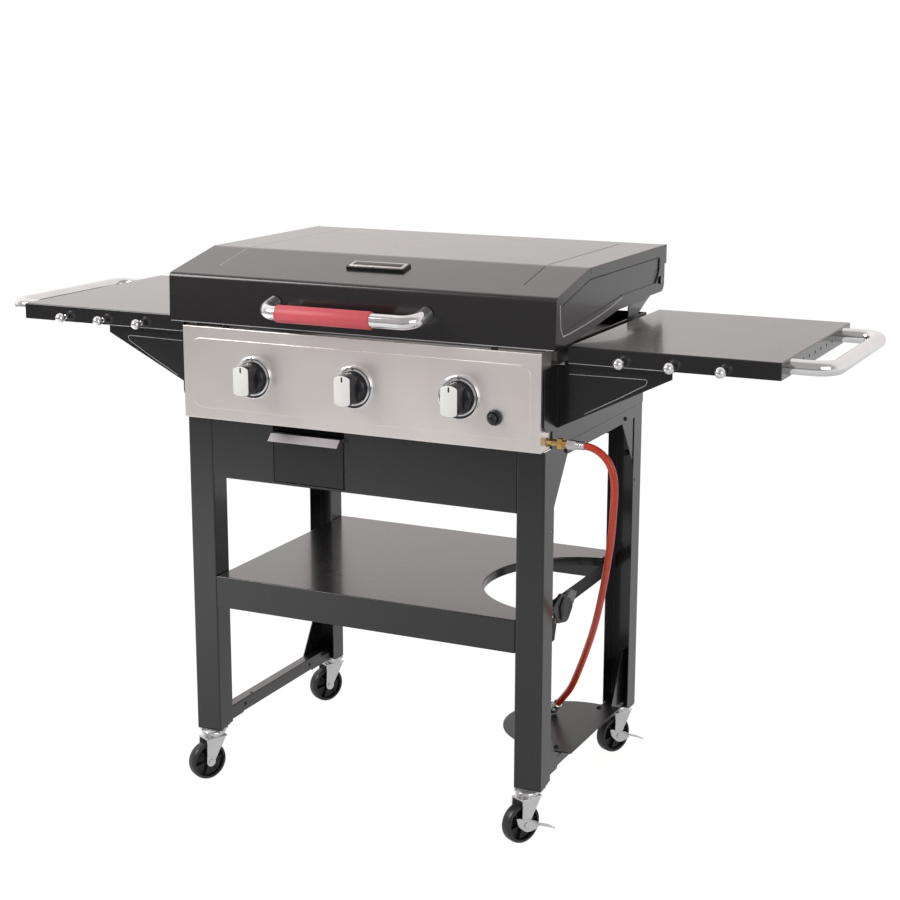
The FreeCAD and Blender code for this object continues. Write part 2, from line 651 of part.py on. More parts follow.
def make_control_panel():
    """A stainless tray, open to the rear, whose raised field is pressed out of the same sheet."""
    panel = new_body("control_panel")
    pad(panel, "XZ", "panel_front - panel_deep", "panel_deep - panel_press", [
        box("-panel_half", "panel_low", "panel_half", "panel_high")
    ])
    cut(panel, "XZ", "panel_front - panel_deep", "panel_deep - panel_press - sheet_steel", [box(
        "-panel_half + sheet_steel", "panel_low + sheet_steel", "panel_half - sheet_steel", "panel_high - sheet_steel"
    )], reverse=True)
    face = -size["panel_front"] + size["panel_press"]
    round_edges(panel, "2", lambda edge: edge_at(edge, "x", y=face, z=size["panel_high"])
                or edge_at(edge, "x", y=face, z=size["panel_low"]))
    cut(panel, "XY", "panel_high + 1", "10", [
        box("-panel_half + sheet_steel", "-panel_front + 16", "panel_half - sheet_steel", "-panel_front + 50")
    ])
    cut(panel, "XY", "panel_low - 1", "10", [
        box("-panel_half + sheet_steel", "-panel_front + 13.5", "panel_half - sheet_steel", "-panel_front + 50")
    ], reverse=True)
    pad(panel, "XZ", "panel_front - panel_press - 0.5", "panel_press + 0.5", [
        box("-field_half", "field_low", "field_half", "field_high")
    ])
    round_edges(panel, "18", lambda edge: edge_at(edge, "y", y=face - size["panel_press"] / 2))
    round_edges(panel, "panel_press - 0.1", lambda edge: abs(edge.CenterOfMass.y + size["panel_front"]) < 0.01)
    side, near = "field_half - 1.5", "field_half - 13.5"
    left_side, left_near = "-field_half + 1.5", "-field_half + 13.5"
    cut(panel, "XZ", "panel_front - panel_press - sheet_steel - 1", "panel_press + 1", [[
        (left_near, "field_low + 1.5"), (near, "field_low + 1.5"), (side, "field_low + 13.5"),
        (side, "field_high - 13.5"), (near, "field_high - 1.5"), (left_near, "field_high - 1.5"),
        (left_side, "field_high - 13.5"), (left_side, "field_low + 13.5"),
    ]], reverse=True)
    cut(panel, "XZ", "panel_front + 5", "20", circles=[
        ("-knob_pitch", "knob_high", "13"), ("0", "knob_high", "13"), ("knob_pitch", "knob_high", "13"),
        ("igniter_across", "igniter_high", "11.2"),
    ])
    cut(panel, "YZ", "panel_half + 5", "20", circles=[("inlet_along", "inlet_high", "pipe_rad + 1")])


def make_bezels():
    """Three chromed dished rings behind the knobs."""
    rings = []
    for number in (-1, 0, 1):
        ring = new_body("bezel_%d" % (number + 2))
        del parts["bezel_%d" % (number + 2)]
        ring_points = [
            ("29", "panel_front"), ("bezel_rad", "panel_front"), ("bezel_rad", "panel_front + 5"),
            ("bezel_rad - 1.5", "panel_front + 7"), ("31", "panel_front + 4.5"), ("30.5", "panel_front + 6"),
            ("29", "panel_front + 6"),
        ]
        spin(ring, ring_points, "V", role="XY")
        ring.Placement = FreeCAD.Placement(FreeCAD.Vector(0, 0, 0), FreeCAD.Rotation(FreeCAD.Vector(0, 0, 1), 180))
        ring.setExpression(".Placement.Base.x", bind("%d * knob_pitch" % number))
        ring.setExpression(".Placement.Base.z", bind("knob_high"))
        rings.append(ring)
    group("knob_bezels", rings)


def make_valves():
    """A manifold pipe with three valves; each has a turning stem that carries a knob."""
    run_high = "knob_high - 20"
    pipe = rod("manifold_pipe", "x", ("-knob_pitch - 20", "pipe_along", run_high), "pipe_rad",
               "knob_pitch + 20 + drop_across")
    drop = rod("manifold_drop", "z", ("drop_across", "pipe_along", "inlet_high"), "pipe_rad",
               run_high + " - inlet_high")
    back = rod("manifold_back", "y", ("drop_across", "pipe_along", "inlet_high"), "pipe_rad",
               "inlet_along - pipe_along")
    out = rod("manifold_out", "x", ("drop_across", "inlet_along", "inlet_high"), "pipe_rad",
              "inlet_in - drop_across")
    elbows = [
        ball("manifold_elbow_high", ("drop_across", "pipe_along", run_high), "pipe_rad + 1.5"),
        ball("manifold_elbow_low", ("drop_across", "pipe_along", "inlet_high"), "pipe_rad + 1.5"),
        ball("manifold_elbow_out", ("drop_across", "inlet_along", "inlet_high"), "pipe_rad + 1.5"),
    ]
    single("gas_manifold", fuse("gas_manifold", [pipe, drop, back, out] + elbows))
    bodies = []
    for number in (-1, 0, 1):
        across = "%d * knob_pitch" % number
        tag = str(number + 2)
        barrel = rod("valve_barrel_" + tag, "y", (across, "-250", "knob_high"), "12", "30")
        foot = rod("valve_foot_" + tag, "z", (across, "pipe_along", "knob_high - 13"), "5", "6")
        jet = rod("valve_jet_" + tag, "y", (across, "-221", "knob_high"), "4", "20")
        bore = rod("valve_bore_" + tag, "y", (across, "-251", "knob_high"), "6.05", "26")
        outer = fuse("valve_outer_" + tag, [barrel, foot, jet])
        hollow = doc.addObject("Part::Cut", "valve_%s_shell" % tag)
        hollow.Base = outer
        hollow.Tool = bore
        bodies.append(hollow)
        plug = rod("stem_plug_" + tag, "y", (across, "-249.5", "knob_high"), "6", "24")
        spindle = rod("stem_shaft_" + tag, "y", (across, "-286", "knob_high"), "4", "38")
        single("valve_stem_" + tag, fuse("valve_stem_" + tag, [plug, spindle]))
    group("gas_valves", bodies)


def make_knobs():
    """A round skirt carries a broad bar, whose ends follow the skirt's circle, with a domed foot."""
    for number in (-1, 0, 1):
        knob = new_body("knob_%d" % (number + 2))
        skirt = [
            ("0", "panel_front + 4.5"), ("28", "panel_front + 4.5"), ("28", "panel_front + 10"),
            ("25.5", "panel_front + 13"), ("0", "panel_front + 17"),
        ]
        spin(knob, skirt, "V", role="XY")
        knob.Placement = FreeCAD.Placement(FreeCAD.Vector(0, 0, 0), FreeCAD.Rotation(FreeCAD.Vector(0, 0, 1), 180))
        knob.setExpression(".Placement.Base.x", bind("%d * knob_pitch" % number))
        knob.setExpression(".Placement.Base.z", bind("knob_high"))
        grip = new_sketch(knob, "XZ", "-(panel_front + 8)")
        half_wide, half_tall = 13.5, 22.5
        round_end = math.hypot(half_wide, half_tall)
        angle = math.atan2(half_tall, half_wide)
        middle = FreeCAD.Vector(0, 0, 0)
        upward = FreeCAD.Vector(0, 0, 1)
        circle = Part.Circle(middle, upward, round_end)
        grip.addGeometry(Part.ArcOfCircle(circle, angle, math.pi - angle), False)
        grip.addGeometry(Part.ArcOfCircle(circle, math.pi + angle, 2 * math.pi - angle), False)
        corner = [FreeCAD.Vector(x, z, 0) for x, z in (
            (-half_wide, half_tall), (-half_wide, -half_tall), (half_wide, -half_tall), (half_wide, half_tall))]
        grip.addGeometry(Part.LineSegment(corner[0], corner[1]), False)
        grip.addGeometry(Part.LineSegment(corner[2], corner[3]), False)
        for left, right in (((0, 2), (2, 1)), ((2, 2), (1, 1)), ((1, 2), (3, 1)), ((3, 2), (0, 1))):
            grip.addConstraint(Sketcher.Constraint("Coincident", left[0], left[1], right[0], right[1]))
        bar = knob.newObject("PartDesign::Pad", knob.Name + "_bar")
        bar.Profile = grip
        bar.Length = 34
        bar.Reversed = True
        cut(knob, "XZ", "-(panel_front - 10)", "50", circles=[("0", "0", "4.06")])
        round_edges(knob, "1.5", lambda edge: abs(edge.CenterOfMass.y + size["panel_front"] + 42) < 0.01)


def make_igniter():
    """The igniter's barrel passes through the panel; its button slides in the collar."""
    igniter = new_body("igniter_body")
    spin(igniter, [
        ("8.3", "panel_front - 40"), ("11", "panel_front - 40"), ("11", "panel_front"), ("13.5", "panel_front"),
        ("13.5", "panel_front + 4"), ("11.5", "panel_front + 8"), ("8.3", "panel_front + 8"),
    ], "V", role="XY")
    button = new_body("igniter_button")
    spin(button, [
        ("0", "panel_front - 28"), ("8.2", "panel_front - 28"), ("8.2", "panel_front + 14"),
        ("6.8", "panel_front + 16.6"), ("4.2", "panel_front + 17.6"), ("0", "panel_front + 18"),
    ], "V", role="XY")
    for item in (igniter, button):
        item.Placement = FreeCAD.Placement(FreeCAD.Vector(0, 0, 0), FreeCAD.Rotation(FreeCAD.Vector(0, 0, 1), 180))
        item.setExpression(".Placement.Base.x", bind("igniter_across"))
        item.setExpression(".Placement.Base.z", bind("igniter_high"))


def make_burners():
    """Three tube burners with a row of ports on each side, and a spark rod beside each."""
    tubes = []
    rods = []
    for number in (-1, 0, 1):
        across = "%d * knob_pitch" % number
        tag = str(number + 2)
        outer = rod("burner_tube_" + tag, "y", (across, "-box_front + 20", "knob_high"), "17", "box_front + 190")
        neck = rod("burner_neck_" + tag, "y", (across, "-box_front - 1", "knob_high"), "9.5", "30")
        joined = fuse("burner_joined_" + tag, [outer, neck])
        throat = rod("burner_throat_" + tag, "y", (across, "-box_front - 5", "knob_high"), "7", "40")
        chamber = rod("burner_chamber_" + tag, "y", (across, "-box_front + 22", "knob_high"), "15.5",
                      "box_front + 186")
        room = fuse("burner_room_" + tag, [throat, chamber])
        shell = doc.addObject("Part::Cut", "burner_%s_shell" % tag)
        shell.Base = joined
        shell.Tool = room
        tubes.append(shell)
        rods.append(rod("spark_rod_" + tag, "y", (across + " + 24", "-box_front + 1.5", "knob_high + 14"), "3",
                        "60"))
    group("burners", tubes)
    group("igniter_electrodes", rods)


def make_griddle():
    """A steel plate with welded walls on three sides and a grease trough along its front edge."""
    plate = new_body("griddle_plate")
    pad(plate, "XY", "box_high", "griddle_rim - box_high", [
        box("-griddle_half", "-box_front", "griddle_half", "griddle_rear + griddle_wall")
    ])
    cut(plate, "XY", "griddle_rim", "griddle_rim - griddle_top", [box(
        "-griddle_half + griddle_wall", "-box_front - 5", "griddle_half - griddle_wall", "griddle_rear"
    )])
    doc.recompute()
    trough = [[
        ("-box_front - 24", "837"), ("-box_front - 2", "837"), ("-box_front - 2", "griddle_top - 3"),
        ("-box_front + 2", "griddle_top - 3"), ("-box_front + 2", "griddle_top"),
        ("-box_front - 4", "griddle_top"), ("-box_front - 4", "839"), ("-box_front - 22", "839"),
        ("-box_front - 22", "866"), ("-box_front - 24", "866"),
    ]]
    pad(plate, "YZ", "-griddle_half + 20", "2 * griddle_half - 40", trough)
    ends = [[
        ("-box_front - 24", "837"), ("-box_front - 2", "837"), ("-box_front - 2", "griddle_top"),
        ("-box_front + 2", "griddle_top"), ("-box_front + 2", "866"), ("-box_front - 24", "866"),
    ]]
    pad(plate, "YZ", "-griddle_half + 20", "2", ends)
    pad(plate, "YZ", "griddle_half - 22", "2", ends)
    cut(plate, "XY", "845", "20", [box("-122", "-224", "-78", "-214")])


def make_grease_parts():
    """A folded guide under the panel holds the cup's flanges; a duct leads down from the trough."""
    guide = new_body("grease_guide")
    left = "cup_left"
    right = "cup_right"
    pad(guide, "XZ", "frame_deep - 22", "-100 + frame_deep - 22 + 60", [[
        (left + " - 15", "cup_high + 8"), (left + " - 15", "cup_high - 8"), (left + " - 4", "cup_high - 8"),
        (left + " - 4", "cup_high - 6.5"), (left + " - 13.5", "cup_high - 6.5"),
        (left + " - 13.5", "cup_high + 6.5"), (right + " + 13.5", "cup_high + 6.5"),
        (right + " + 13.5", "cup_high - 6.5"), (right + " + 4", "cup_high - 6.5"),
        (right + " + 4", "cup_high - 8"), (right + " + 15", "cup_high - 8"), (right + " + 15", "cup_high + 8"),
    ]], reverse=True)
    cut(guide, "XY", "cup_high + 20", "30", [box(
        "chute_left + sheet_steel", "chute_front + 8", "chute_right - sheet_steel", "chute_rear - sheet_steel"
    )])
    pad(guide, "XY", "cup_high + 7", "griddle_top - 24.5 - cup_high", [[
        ("chute_left", "chute_front"), ("chute_left + sheet_steel", "chute_front"),
        ("chute_left + sheet_steel", "chute_rear - sheet_steel"),
        ("chute_right - sheet_steel", "chute_rear - sheet_steel"), ("chute_right - sheet_steel", "chute_front"),
        ("chute_right", "chute_front"), ("chute_right", "chute_rear"), ("chute_left", "chute_rear"),
    ]])
    cup = new_body("grease_cup")
    front = "-frame_deep - 1"
    pad(cup, "XY", "cup_low", "cup_high - cup_low", [box(left, front, right, front + " + cup_deep")])
    cut(cup, "XY", "cup_high", "cup_high - cup_low - cup_sheet", [box(
        left + " + cup_sheet", front + " + cup_sheet", right + " - cup_sheet", front + " + cup_deep - cup_sheet"
    )])
    pad(cup, "XY", "cup_high - 3", "1.5", [
        box(left + " - 11", front + " + cup_deep - 40", left + " + 0.6", front + " + cup_deep"),
        box(right + " - 0.6", front + " + cup_deep - 40", right + " + 11", front + " + cup_deep"),
    ])
    pad(cup, "YZ", left, "cup_right - cup_left", [[
        (front, "cup_high"), (front + " - 10", "cup_high"), (front + " - 22", "cup_high - 12.5"),
        (front + " - 20.8", "cup_high - 13.6"), (front + " - 9.4", "cup_high - 1.5"),
        (front, "cup_high - 1.5"),
    ]])


# The lid

def make_lid():
    """One sheet forms front, slope, top and rear flange; pressed side panels close its ends."""
    shell = new_body("lid_shell")
    skin = "lid_skin"
    pad(shell, "YZ", "-lid_half + 1.6", "2 * (lid_half - 1.6)", [[
        ("-lid_front", "lid_low"), ("-lid_front + 3", "lid_brow"), ("-lid_crease", "lid_top"),
        ("lid_rear", "lid_top"), ("lid_rear", "lid_top - 35"), ("lid_rear - " + skin, "lid_top - 35"),
        ("lid_rear - " + skin, "lid_top - " + skin), ("-lid_crease + 0.16", "lid_top - " + skin),
        ("-lid_front + 4.5", "lid_brow - 1.2"), ("-lid_front + " + skin, "lid_low"),
    ]])
    brow = -size["lid_front"] + 3
    inner_rear = size["lid_rear"] - size["lid_skin"]
    inner_top = size["lid_top"] - size["lid_skin"]
    round_edges(shell, "7.5", lambda edge: edge_at(edge, "x", y=brow + 1.5, z=size["lid_brow"] - 1.2))
    round_edges(shell, "9", lambda edge: edge_at(edge, "x", y=brow, z=size["lid_brow"]))
    round_edges(shell, "4.5", lambda edge: edge_at(edge, "x", y=inner_rear, z=inner_top))
    round_edges(shell, "6", lambda edge: edge_at(edge, "x", y=size["lid_rear"], z=size["lid_top"]))
    round_edges(shell, "50", lambda edge: edge_at(edge, "x", y=-size["lid_crease"], z=size["lid_top"]))

    side = new_body("lid_side_blank")
    del parts["lid_side_blank"]
    pad(side, "YZ", "lid_half - 1.6", "1.6", [[
        ("-lid_front", "lid_low"), ("-205", "lid_low"), ("36", "906.7"), ("178", "906.7"), ("182", "910.4"),
        ("lid_rear - 9.5", "910.4"), ("lid_rear - 9.5", "lid_top - 35"), ("lid_rear", "lid_top - 35"),
        ("lid_rear", "lid_top"), ("-lid_crease", "lid_top"), ("-lid_front + 3", "lid_brow"),
    ]])
    doc.recompute()
    round_edges(side, "17", lambda edge: edge_at(edge, "x", y=size["lid_rear"] - 9.5, z=910.4))
    round_edges(side, "9", lambda edge: edge_at(edge, "x", y=-size["lid_front"] + 3, z=size["lid_brow"]))
    pressing = [[
        ("-229", "899"), ("-27", "919"), ("60", "928"), ("234", "928"), ("252", "950"), ("252", "976"),
        ("-101", "977"), ("-229", "948"),
    ]]
    pad(side, "YZ", "lid_half - 1.6 - side_press", "side_press + 0.1", pressing)
    round_edges(side, "10", lambda edge: edge_at(edge, "x", x=size["lid_half"] - 1.6 - size["side_press"] / 2))
    inside = [[
        ("-227", "901"), ("-27", "921"), ("60", "930"), ("233", "930"), ("250", "951"), ("250", "974"),
        ("-101", "975"), ("-227", "946.5"),
    ]]
    cut(side, "YZ", "lid_half + 1", "side_press + 1", inside)
    hollow = size["lid_half"] - size["side_press"] / 2
    round_edges(side, "8.4", lambda edge: edge_at(edge, "x", x=hollow))
    cut(side, "YZ", "lid_half + 5", "20", circles=[("pivot_rear", "pivot_high", "4.1")])
    other = doc.addObject("Part::Mirroring", "lid_side_other")
    other.Source = side
    other.Normal = SIDEWAYS
    group("lid_sides", [side, other])


def make_lid_fittings():
    """The chromed handle with its soft grip, and a bare raised plate on the slope."""
    bar = bent_bar("lid_handle", "XY", "0", "0", "handle_reach", "-handle_half", "handle_half", "22", "tube_rad",
                   "1.5")
    turn = FreeCAD.Rotation(FreeCAD.Vector(0, 0, 1), -90)
    bar.Placement = FreeCAD.Placement(FreeCAD.Vector(0, 0, 0), turn)
    bar.setExpression(".Placement.Base.y", bind("handle_reach - handle_out"))
    bar.setExpression(".Placement.Base.z", bind("handle_high"))
    grip = new_body("handle_grip")
    rings = [("-handle_out", "handle_high", "grip_rad"), ("-handle_out", "handle_high", "tube_rad + 0.02")]
    pad(grip, "YZ", "grip_left", "grip_right - grip_left", circles=rings)
    plate = doc.addObject("Part::Box", "badge_plate")
    plate.Length = 118
    plate.Width = 40
    plate.Height = 1.2
    slope = math.degrees(math.atan2(size["lid_top"] - size["lid_brow"], size["lid_front"] - 3 - size["lid_crease"]))
    tilt = FreeCAD.Rotation(FreeCAD.Vector(1, 0, 0), slope)
    rise = (size["lid_top"] - size["lid_brow"]) / (size["lid_front"] - 3 - size["lid_crease"])
    along = -185.0
    height = size["lid_brow"] + rise * (along + size["lid_front"] - 3) + 0.02
    plate.Placement = FreeCAD.Placement(FreeCAD.Vector(-59, along, height), tilt)
    single("badge_plate", plate)


def make_hinges():
    """A folded bracket on each side of the firebox ends in a round eye with the lid's pivot stud."""
    arm = new_body("hinge_bracket_blank")
    del parts["hinge_bracket_blank"]
    pad(arm, "XZ", "-157", "47", [[
        ("box_half", "790"), ("box_half + 2", "790"), ("box_half + 2", "843"), ("364", "843"), ("364", "900"),
        ("362", "900"), ("362", "845"), ("box_half", "845"),
    ]])
    pad(arm, "YZ", "362", "2", [[
        ("110", "880"), ("157", "880"), ("200", "898"), ("pivot_rear + 6", "pivot_high - 12"),
        ("pivot_rear + 12", "pivot_high"), ("pivot_rear + 6", "pivot_high + 11"),
        ("pivot_rear - 8", "pivot_high + 11"), ("190", "918"), ("110", "901"),
    ]])
    pad(arm, "YZ", "363", "lid_half + 3 - 363", circles=[("pivot_rear", "pivot_high", "4.05")])
    pad(arm, "YZ", "lid_half + 0.4", "2.6", circles=[("pivot_rear", "pivot_high", "7.5")])
    pad(arm, "YZ", "363", "lid_half - 2 - 363", circles=[("pivot_rear", "pivot_high", "7")])
    other = doc.addObject("Part::Mirroring", "hinge_bracket_other")
    other.Source = arm
    other.Normal = SIDEWAYS
    group("hinge_brackets", [arm, other])
    group("lid_bumpers", [
        rod("bumper_left", "z", ("-260", "-panel_front + 7", "panel_high"), "6", "lid_low - panel_high - 0.1"),
        rod("bumper_right", "z", ("260", "-panel_front + 7", "panel_high"), "6", "lid_low - panel_high - 0.1"),
    ])


# The side shelves

def make_side_shelves():
    """A pan turned down on all sides, with a row of holes in its end, and a bent tube handle beyond it."""
    shelf = new_body("shelf_right")
    low = "wing_top - wing_skirt"
    pad(shelf, "XY", low, "wing_skirt", [box("wing_in", "wing_front", "wing_out", "wing_rear")])
    cut(shelf, "XY", low, "wing_skirt - sheet_steel", [box(
        "wing_in + sheet_steel", "wing_front + sheet_steel", "wing_out - sheet_steel", "wing_rear - sheet_steel"
    )], reverse=True)
    round_edges(shelf, "3", lambda edge: edge_at(edge, "z", x=size["wing_out"]))
    round_edges(shelf, "fold_out - 0.3", lambda edge: abs(edge.CenterOfMass.z - size["wing_top"]) < 0.01)
    holes = [(str(-77 + 38 * step), "wing_top - 14.5", "3") for step in range(6)]
    cut(shelf, "YZ", "wing_out + 5", "15", circles=holes)
    mirror("shelf_left", shelf, SIDEWAYS)
    bar = bent_bar("shelf_handle_right", "XY", "bar_high", "wing_out", "bar_out", "bar_front", "bar_rear",
                   "34", "tube_rad", "1.5")
    mirror("shelf_handle_left", bar, SIDEWAYS)


def make_braces():
    """Triangular sheet braces with a pressed field, a side flange on the body and a lip at the top."""
    brace = new_body("brace_blank")
    del parts["brace_blank"]
    low_edge = "wing_top - wing_skirt"
    pad(brace, "XZ", "brace_along", "sheet_steel", [[
        ("box_half", "brace_low"), ("brace_out", low_edge + " - 16"), ("brace_out", low_edge), ("wing_in - 12", low_edge),
        ("wing_in - 12", "box_high - 4"), ("box_half", "box_high - 4"),
    ]])
    pad(brace, "XZ", "brace_along", "14", [box("wing_in - 12", low_edge + " - 1.5", "brace_out", low_edge)],
        reverse=True)
    pad(brace, "YZ", "box_half", "sheet_steel", [
        box("-brace_along - 58", "brace_low", "-brace_along", "box_high - 4")
    ])
    pressing = [[
        ("box_half + 14", "760"), ("brace_out - 32", low_edge + " - 16"), ("brace_out - 32", low_edge + " - 9"),
        ("box_half + 14", low_edge + " - 9"),
    ]]
    pad(brace, "XZ", "brace_along + sheet_steel", "brace_press", pressing)
    raised = -size["brace_along"] - size["sheet_steel"] - size["brace_press"] / 2
    round_edges(brace, "4", lambda edge: edge_at(edge, "y", y=raised))
    cut(brace, "XZ", "brace_along - 1", "brace_press + 1", [[
        ("box_half + 16", "764.5"), ("brace_out - 36", low_edge + " - 16.5"), ("brace_out - 38", low_edge + " - 11"),
        ("box_half + 16", low_edge + " - 11"),
    ]], reverse=True)
    round_edges(brace, "18", lambda edge: edge_at(edge, "x", y=-size["brace_along"] - 58, z=size["brace_low"]))
    group("shelf_braces", four_corners("brace", brace))
    hooks = []
    for side in (1, -1):
        for step in range(3):
            across = str(side * (471 + 86 * step))
            peg = rod("hook_peg_%d_%d" % (side + 1, step), "y", (across, "wing_front - 14", "857"), "2.5", "14")
            knob = ball("hook_ball_%d_%d" % (side + 1, step), (across, "wing_front - 14", "857"), "6.5")
            hooks.append(fuse("hook_%d_%d" % (side + 1, step), [peg, knob]))
    group("tool_hooks", hooks)


# The casters

CORNERS = (("front_left", -1, -1), ("front_right", 1, -1), ("rear_left", -1, 1), ("rear_right", 1, 1))


def place_caster(body, side, end):
    """Stands a body made about the swivel axis under its leg, turned to the rest angle."""
    turn = FreeCAD.Rotation(FreeCAD.Vector(0, 0, 1), size["caster_turn"])
    body.Placement = FreeCAD.Placement(FreeCAD.Vector(0, 0, 0), turn)
    body.setExpression(".Placement.Base.x", bind("%d * caster_across" % side))
    body.setExpression(".Placement.Base.y", bind("%d * caster_along" % end))


AXLE_HIGH = "floor_high + wheel_rad"


def make_fork(corner, side):
    """A pressed crown under the swivel race, two tapering cheeks with round ends, and the axle."""
    fork = new_body("caster_fork_" + corner)
    pad(fork, "XY", "crown_low", "2.5", [box("-23", "-fork_half", "20", "fork_half")])
    for start in ("fork_half - 2", "-fork_half"):
        pad(fork, "XZ", start, "2", [[
            ("-22.5", "crown_low + 2.5"), ("-trail - 9", AXLE_HIGH), ("-trail + 8.6", AXLE_HIGH + " + 2.6"),
            ("8", "crown_low - 16"), ("15", "crown_low - 4"), ("18", "crown_low + 2.5"),
        ]])
        pad(fork, "XZ", start, "2", circles=[("-trail", AXLE_HIGH, "9")])
    crown = size["crown_low"] + 2.5
    round_edges(fork, "fold_out - 0.5", lambda edge: edge_at(edge, "x", z=crown))
    pad(fork, "XY", "crown_low", "race_high - crown_low", circles=[("0", "0", "15")])
    cut(fork, "XY", "crown_low - 1", "race_high - crown_low - 1.5", circles=[("0", "0", "7.5")], reverse=True)
    cut(fork, "XY", "race_high + 1", "10", circles=[("0", "0", "4.08")])
    pad(fork, "XZ", "-fork_half - 1", "2 * fork_half + 2", circles=[("-trail", AXLE_HIGH, "axle_rad")])
    pad(fork, "XZ", "-fork_half - 2", "2", circles=[("-trail", AXLE_HIGH, "axle_rad + 1.8")])
    if side > 0:
        pad(fork, "XZ", "fork_half", "2.7", circles=[("-trail", AXLE_HIGH, "axle_rad")])
        pad(fork, "XZ", "fork_half + 2.6", "2", circles=[("-trail", AXLE_HIGH, "axle_rad + 2.5")])
    else:
        pad(fork, "XZ", "fork_half", "2", circles=[("-trail", AXLE_HIGH, "axle_rad + 1.8")])
    return fork


def make_wheel(corner, side, end):
    """A moulded wheel: rounded tyre, thin web with six ribs, and a hub that runs on the axle."""
    wheel = new_body("wheel_" + corner)
    half = [
        ("3.55", "wheel_half + 0.5"), ("9", "wheel_half + 0.5"), ("9", "2.5"), ("wheel_rad - 7", "2.5"),
        ("wheel_rad - 7", "wheel_half - 1"), ("wheel_rad - 3.5", "wheel_half"), ("wheel_rad - 1", "wheel_half - 2.5"),
        ("wheel_rad", "4"),
    ]
    spin(wheel, [(across, "-(%s)" % up) for across, up in half] + half[::-1], "V", role="XY")
    rib = new_sketch(wheel, "XZ", "-wheel_half + 2.5")
    add_outline(rib, box("8", "-1.2", "wheel_rad - 6.5", "1.2"))
    ribs = feature(wheel, "Pad", rib, "2 * wheel_half - 5")
    pattern = wheel.newObject("PartDesign::PolarPattern", wheel.Name + "_ribs")
    pattern.Originals = [ribs]
    pattern.Axis = ([item for item in wheel.Origin.OriginFeatures if item.Role == "Y_Axis"][0], [""])
    pattern.Angle = 360
    pattern.Occurrences = 6
    wheel.Tip = pattern
    turn = FreeCAD.Rotation(FreeCAD.Vector(0, 0, 1), size["caster_turn"])
    wheel.Placement = FreeCAD.Placement(FreeCAD.Vector(0, 0, 0), turn)
    lean = "cos(%s)" % size["caster_turn"], "sin(%s)" % size["caster_turn"]
    wheel.setExpression(".Placement.Base.x", bind("%d * caster_across - trail * %s" % (side, lean[0])))
    wheel.setExpression(".Placement.Base.y", bind("%d * caster_along - trail * %s" % (end, lean[1])))
    wheel.setExpression(".Placement.Base.z", bind(AXLE_HIGH))


def make_brake(corner):
    """A crescent on the axle's outer end, with a sloping tongue for the toe."""
    brake = new_body("brake_lever_" + corner)
    outline = [
        (-23.5, 17.5), (-20.5, 6.5), (-17, 0.5), (-11.5, -4.5), (-6.5, -9), (0, -12.6), (9, -13.6), (20, -12),
        (28, -8.5), (24.5, -0.5), (16.5, 4.5), (8, 8), (0, 9.5), (-7, 11.5), (-16, 16.5),
    ]
    pad(brake, "XZ", "fork_half + 0.5", "1.8", [
        [("-trail + %s" % across, AXLE_HIGH + " + %s" % up) for across, up in outline]
    ])
    tongue = [(18, 1.8), (48, -10.8), (52.5, -13.5), (51.4, -15.6), (47.4, -12.6), (17.4, 0)]
    pad(brake, "XZ", "fork_half + 0.5", "16", [
        [("-trail + %s" % across, AXLE_HIGH + " + %s" % up) for across, up in tongue]
    ])
    cut(brake, "XZ", "10", "20", circles=[("-trail", AXLE_HIGH, "axle_rad + 0.06")], reverse=True)
    return brake


def make_casters():
    """Top plates under the legs carry swivelling forks with axles and wheels; the right ones have brakes."""
    plates = []
    for corner, side, end in CORNERS:
        plate = new_body("caster_plate_" + corner)
        del parts["caster_plate_" + corner]
        spin(plate, [
            ("0", "leg_foot - 1"), ("0", "race_high - 5.5"), ("6.5", "race_high - 5.5"), ("6.5", "race_high - 2.8"),
            ("4", "race_high - 2.8"), ("4", "race_high + 0.5"), ("19.5", "race_high + 0.5"),
            ("23.5", "leg_foot - 6"), ("24.5", "leg_foot - 4.5"), ("24.5", "leg_foot - 2"), ("22", "leg_foot - 1"),
        ], "V")
        pad(plate, "XY", "leg_foot - 2.5", "2.5", [box("-25", "-21", "25", "21")])
        plate.setExpression(".Placement.Base.x", bind("%d * caster_across" % side))
        plate.setExpression(".Placement.Base.y", bind("%d * caster_along" % end))
        plates.append(plate)
        place_caster(make_fork(corner, side), side, end)
        make_wheel(corner, side, end)
        if side > 0:
            place_caster(make_brake(corner), side, end)
    group("caster_plates", plates)


# The gas inlet and its hose

ROUTE = (
    # route of the hose's axis: it leaves the crimp level, hangs outside the cart and ends on the tray
    (396.0, -222.0, 718.0), (408.5, -222.0, 718.0), (433.0, -222.0, 713.0), (454.0, -222.0, 699.0),
    (468.3, -222.0, 678.4), (473.0, -220.5, 654.0), (471.0, -212.0, 614.0), (460.0, -191.0, 560.0),
    (442.0, -161.0, 496.0), (419.0, -127.0, 430.0), (393.0, -89.0, 364.0), (363.0, -50.0, 302.0),
    (336.0, -18.0, 249.0), (312.0, 8.0, 205.0), (290.0, 28.0, 178.0), (267.0, 44.0, 155.2),
)


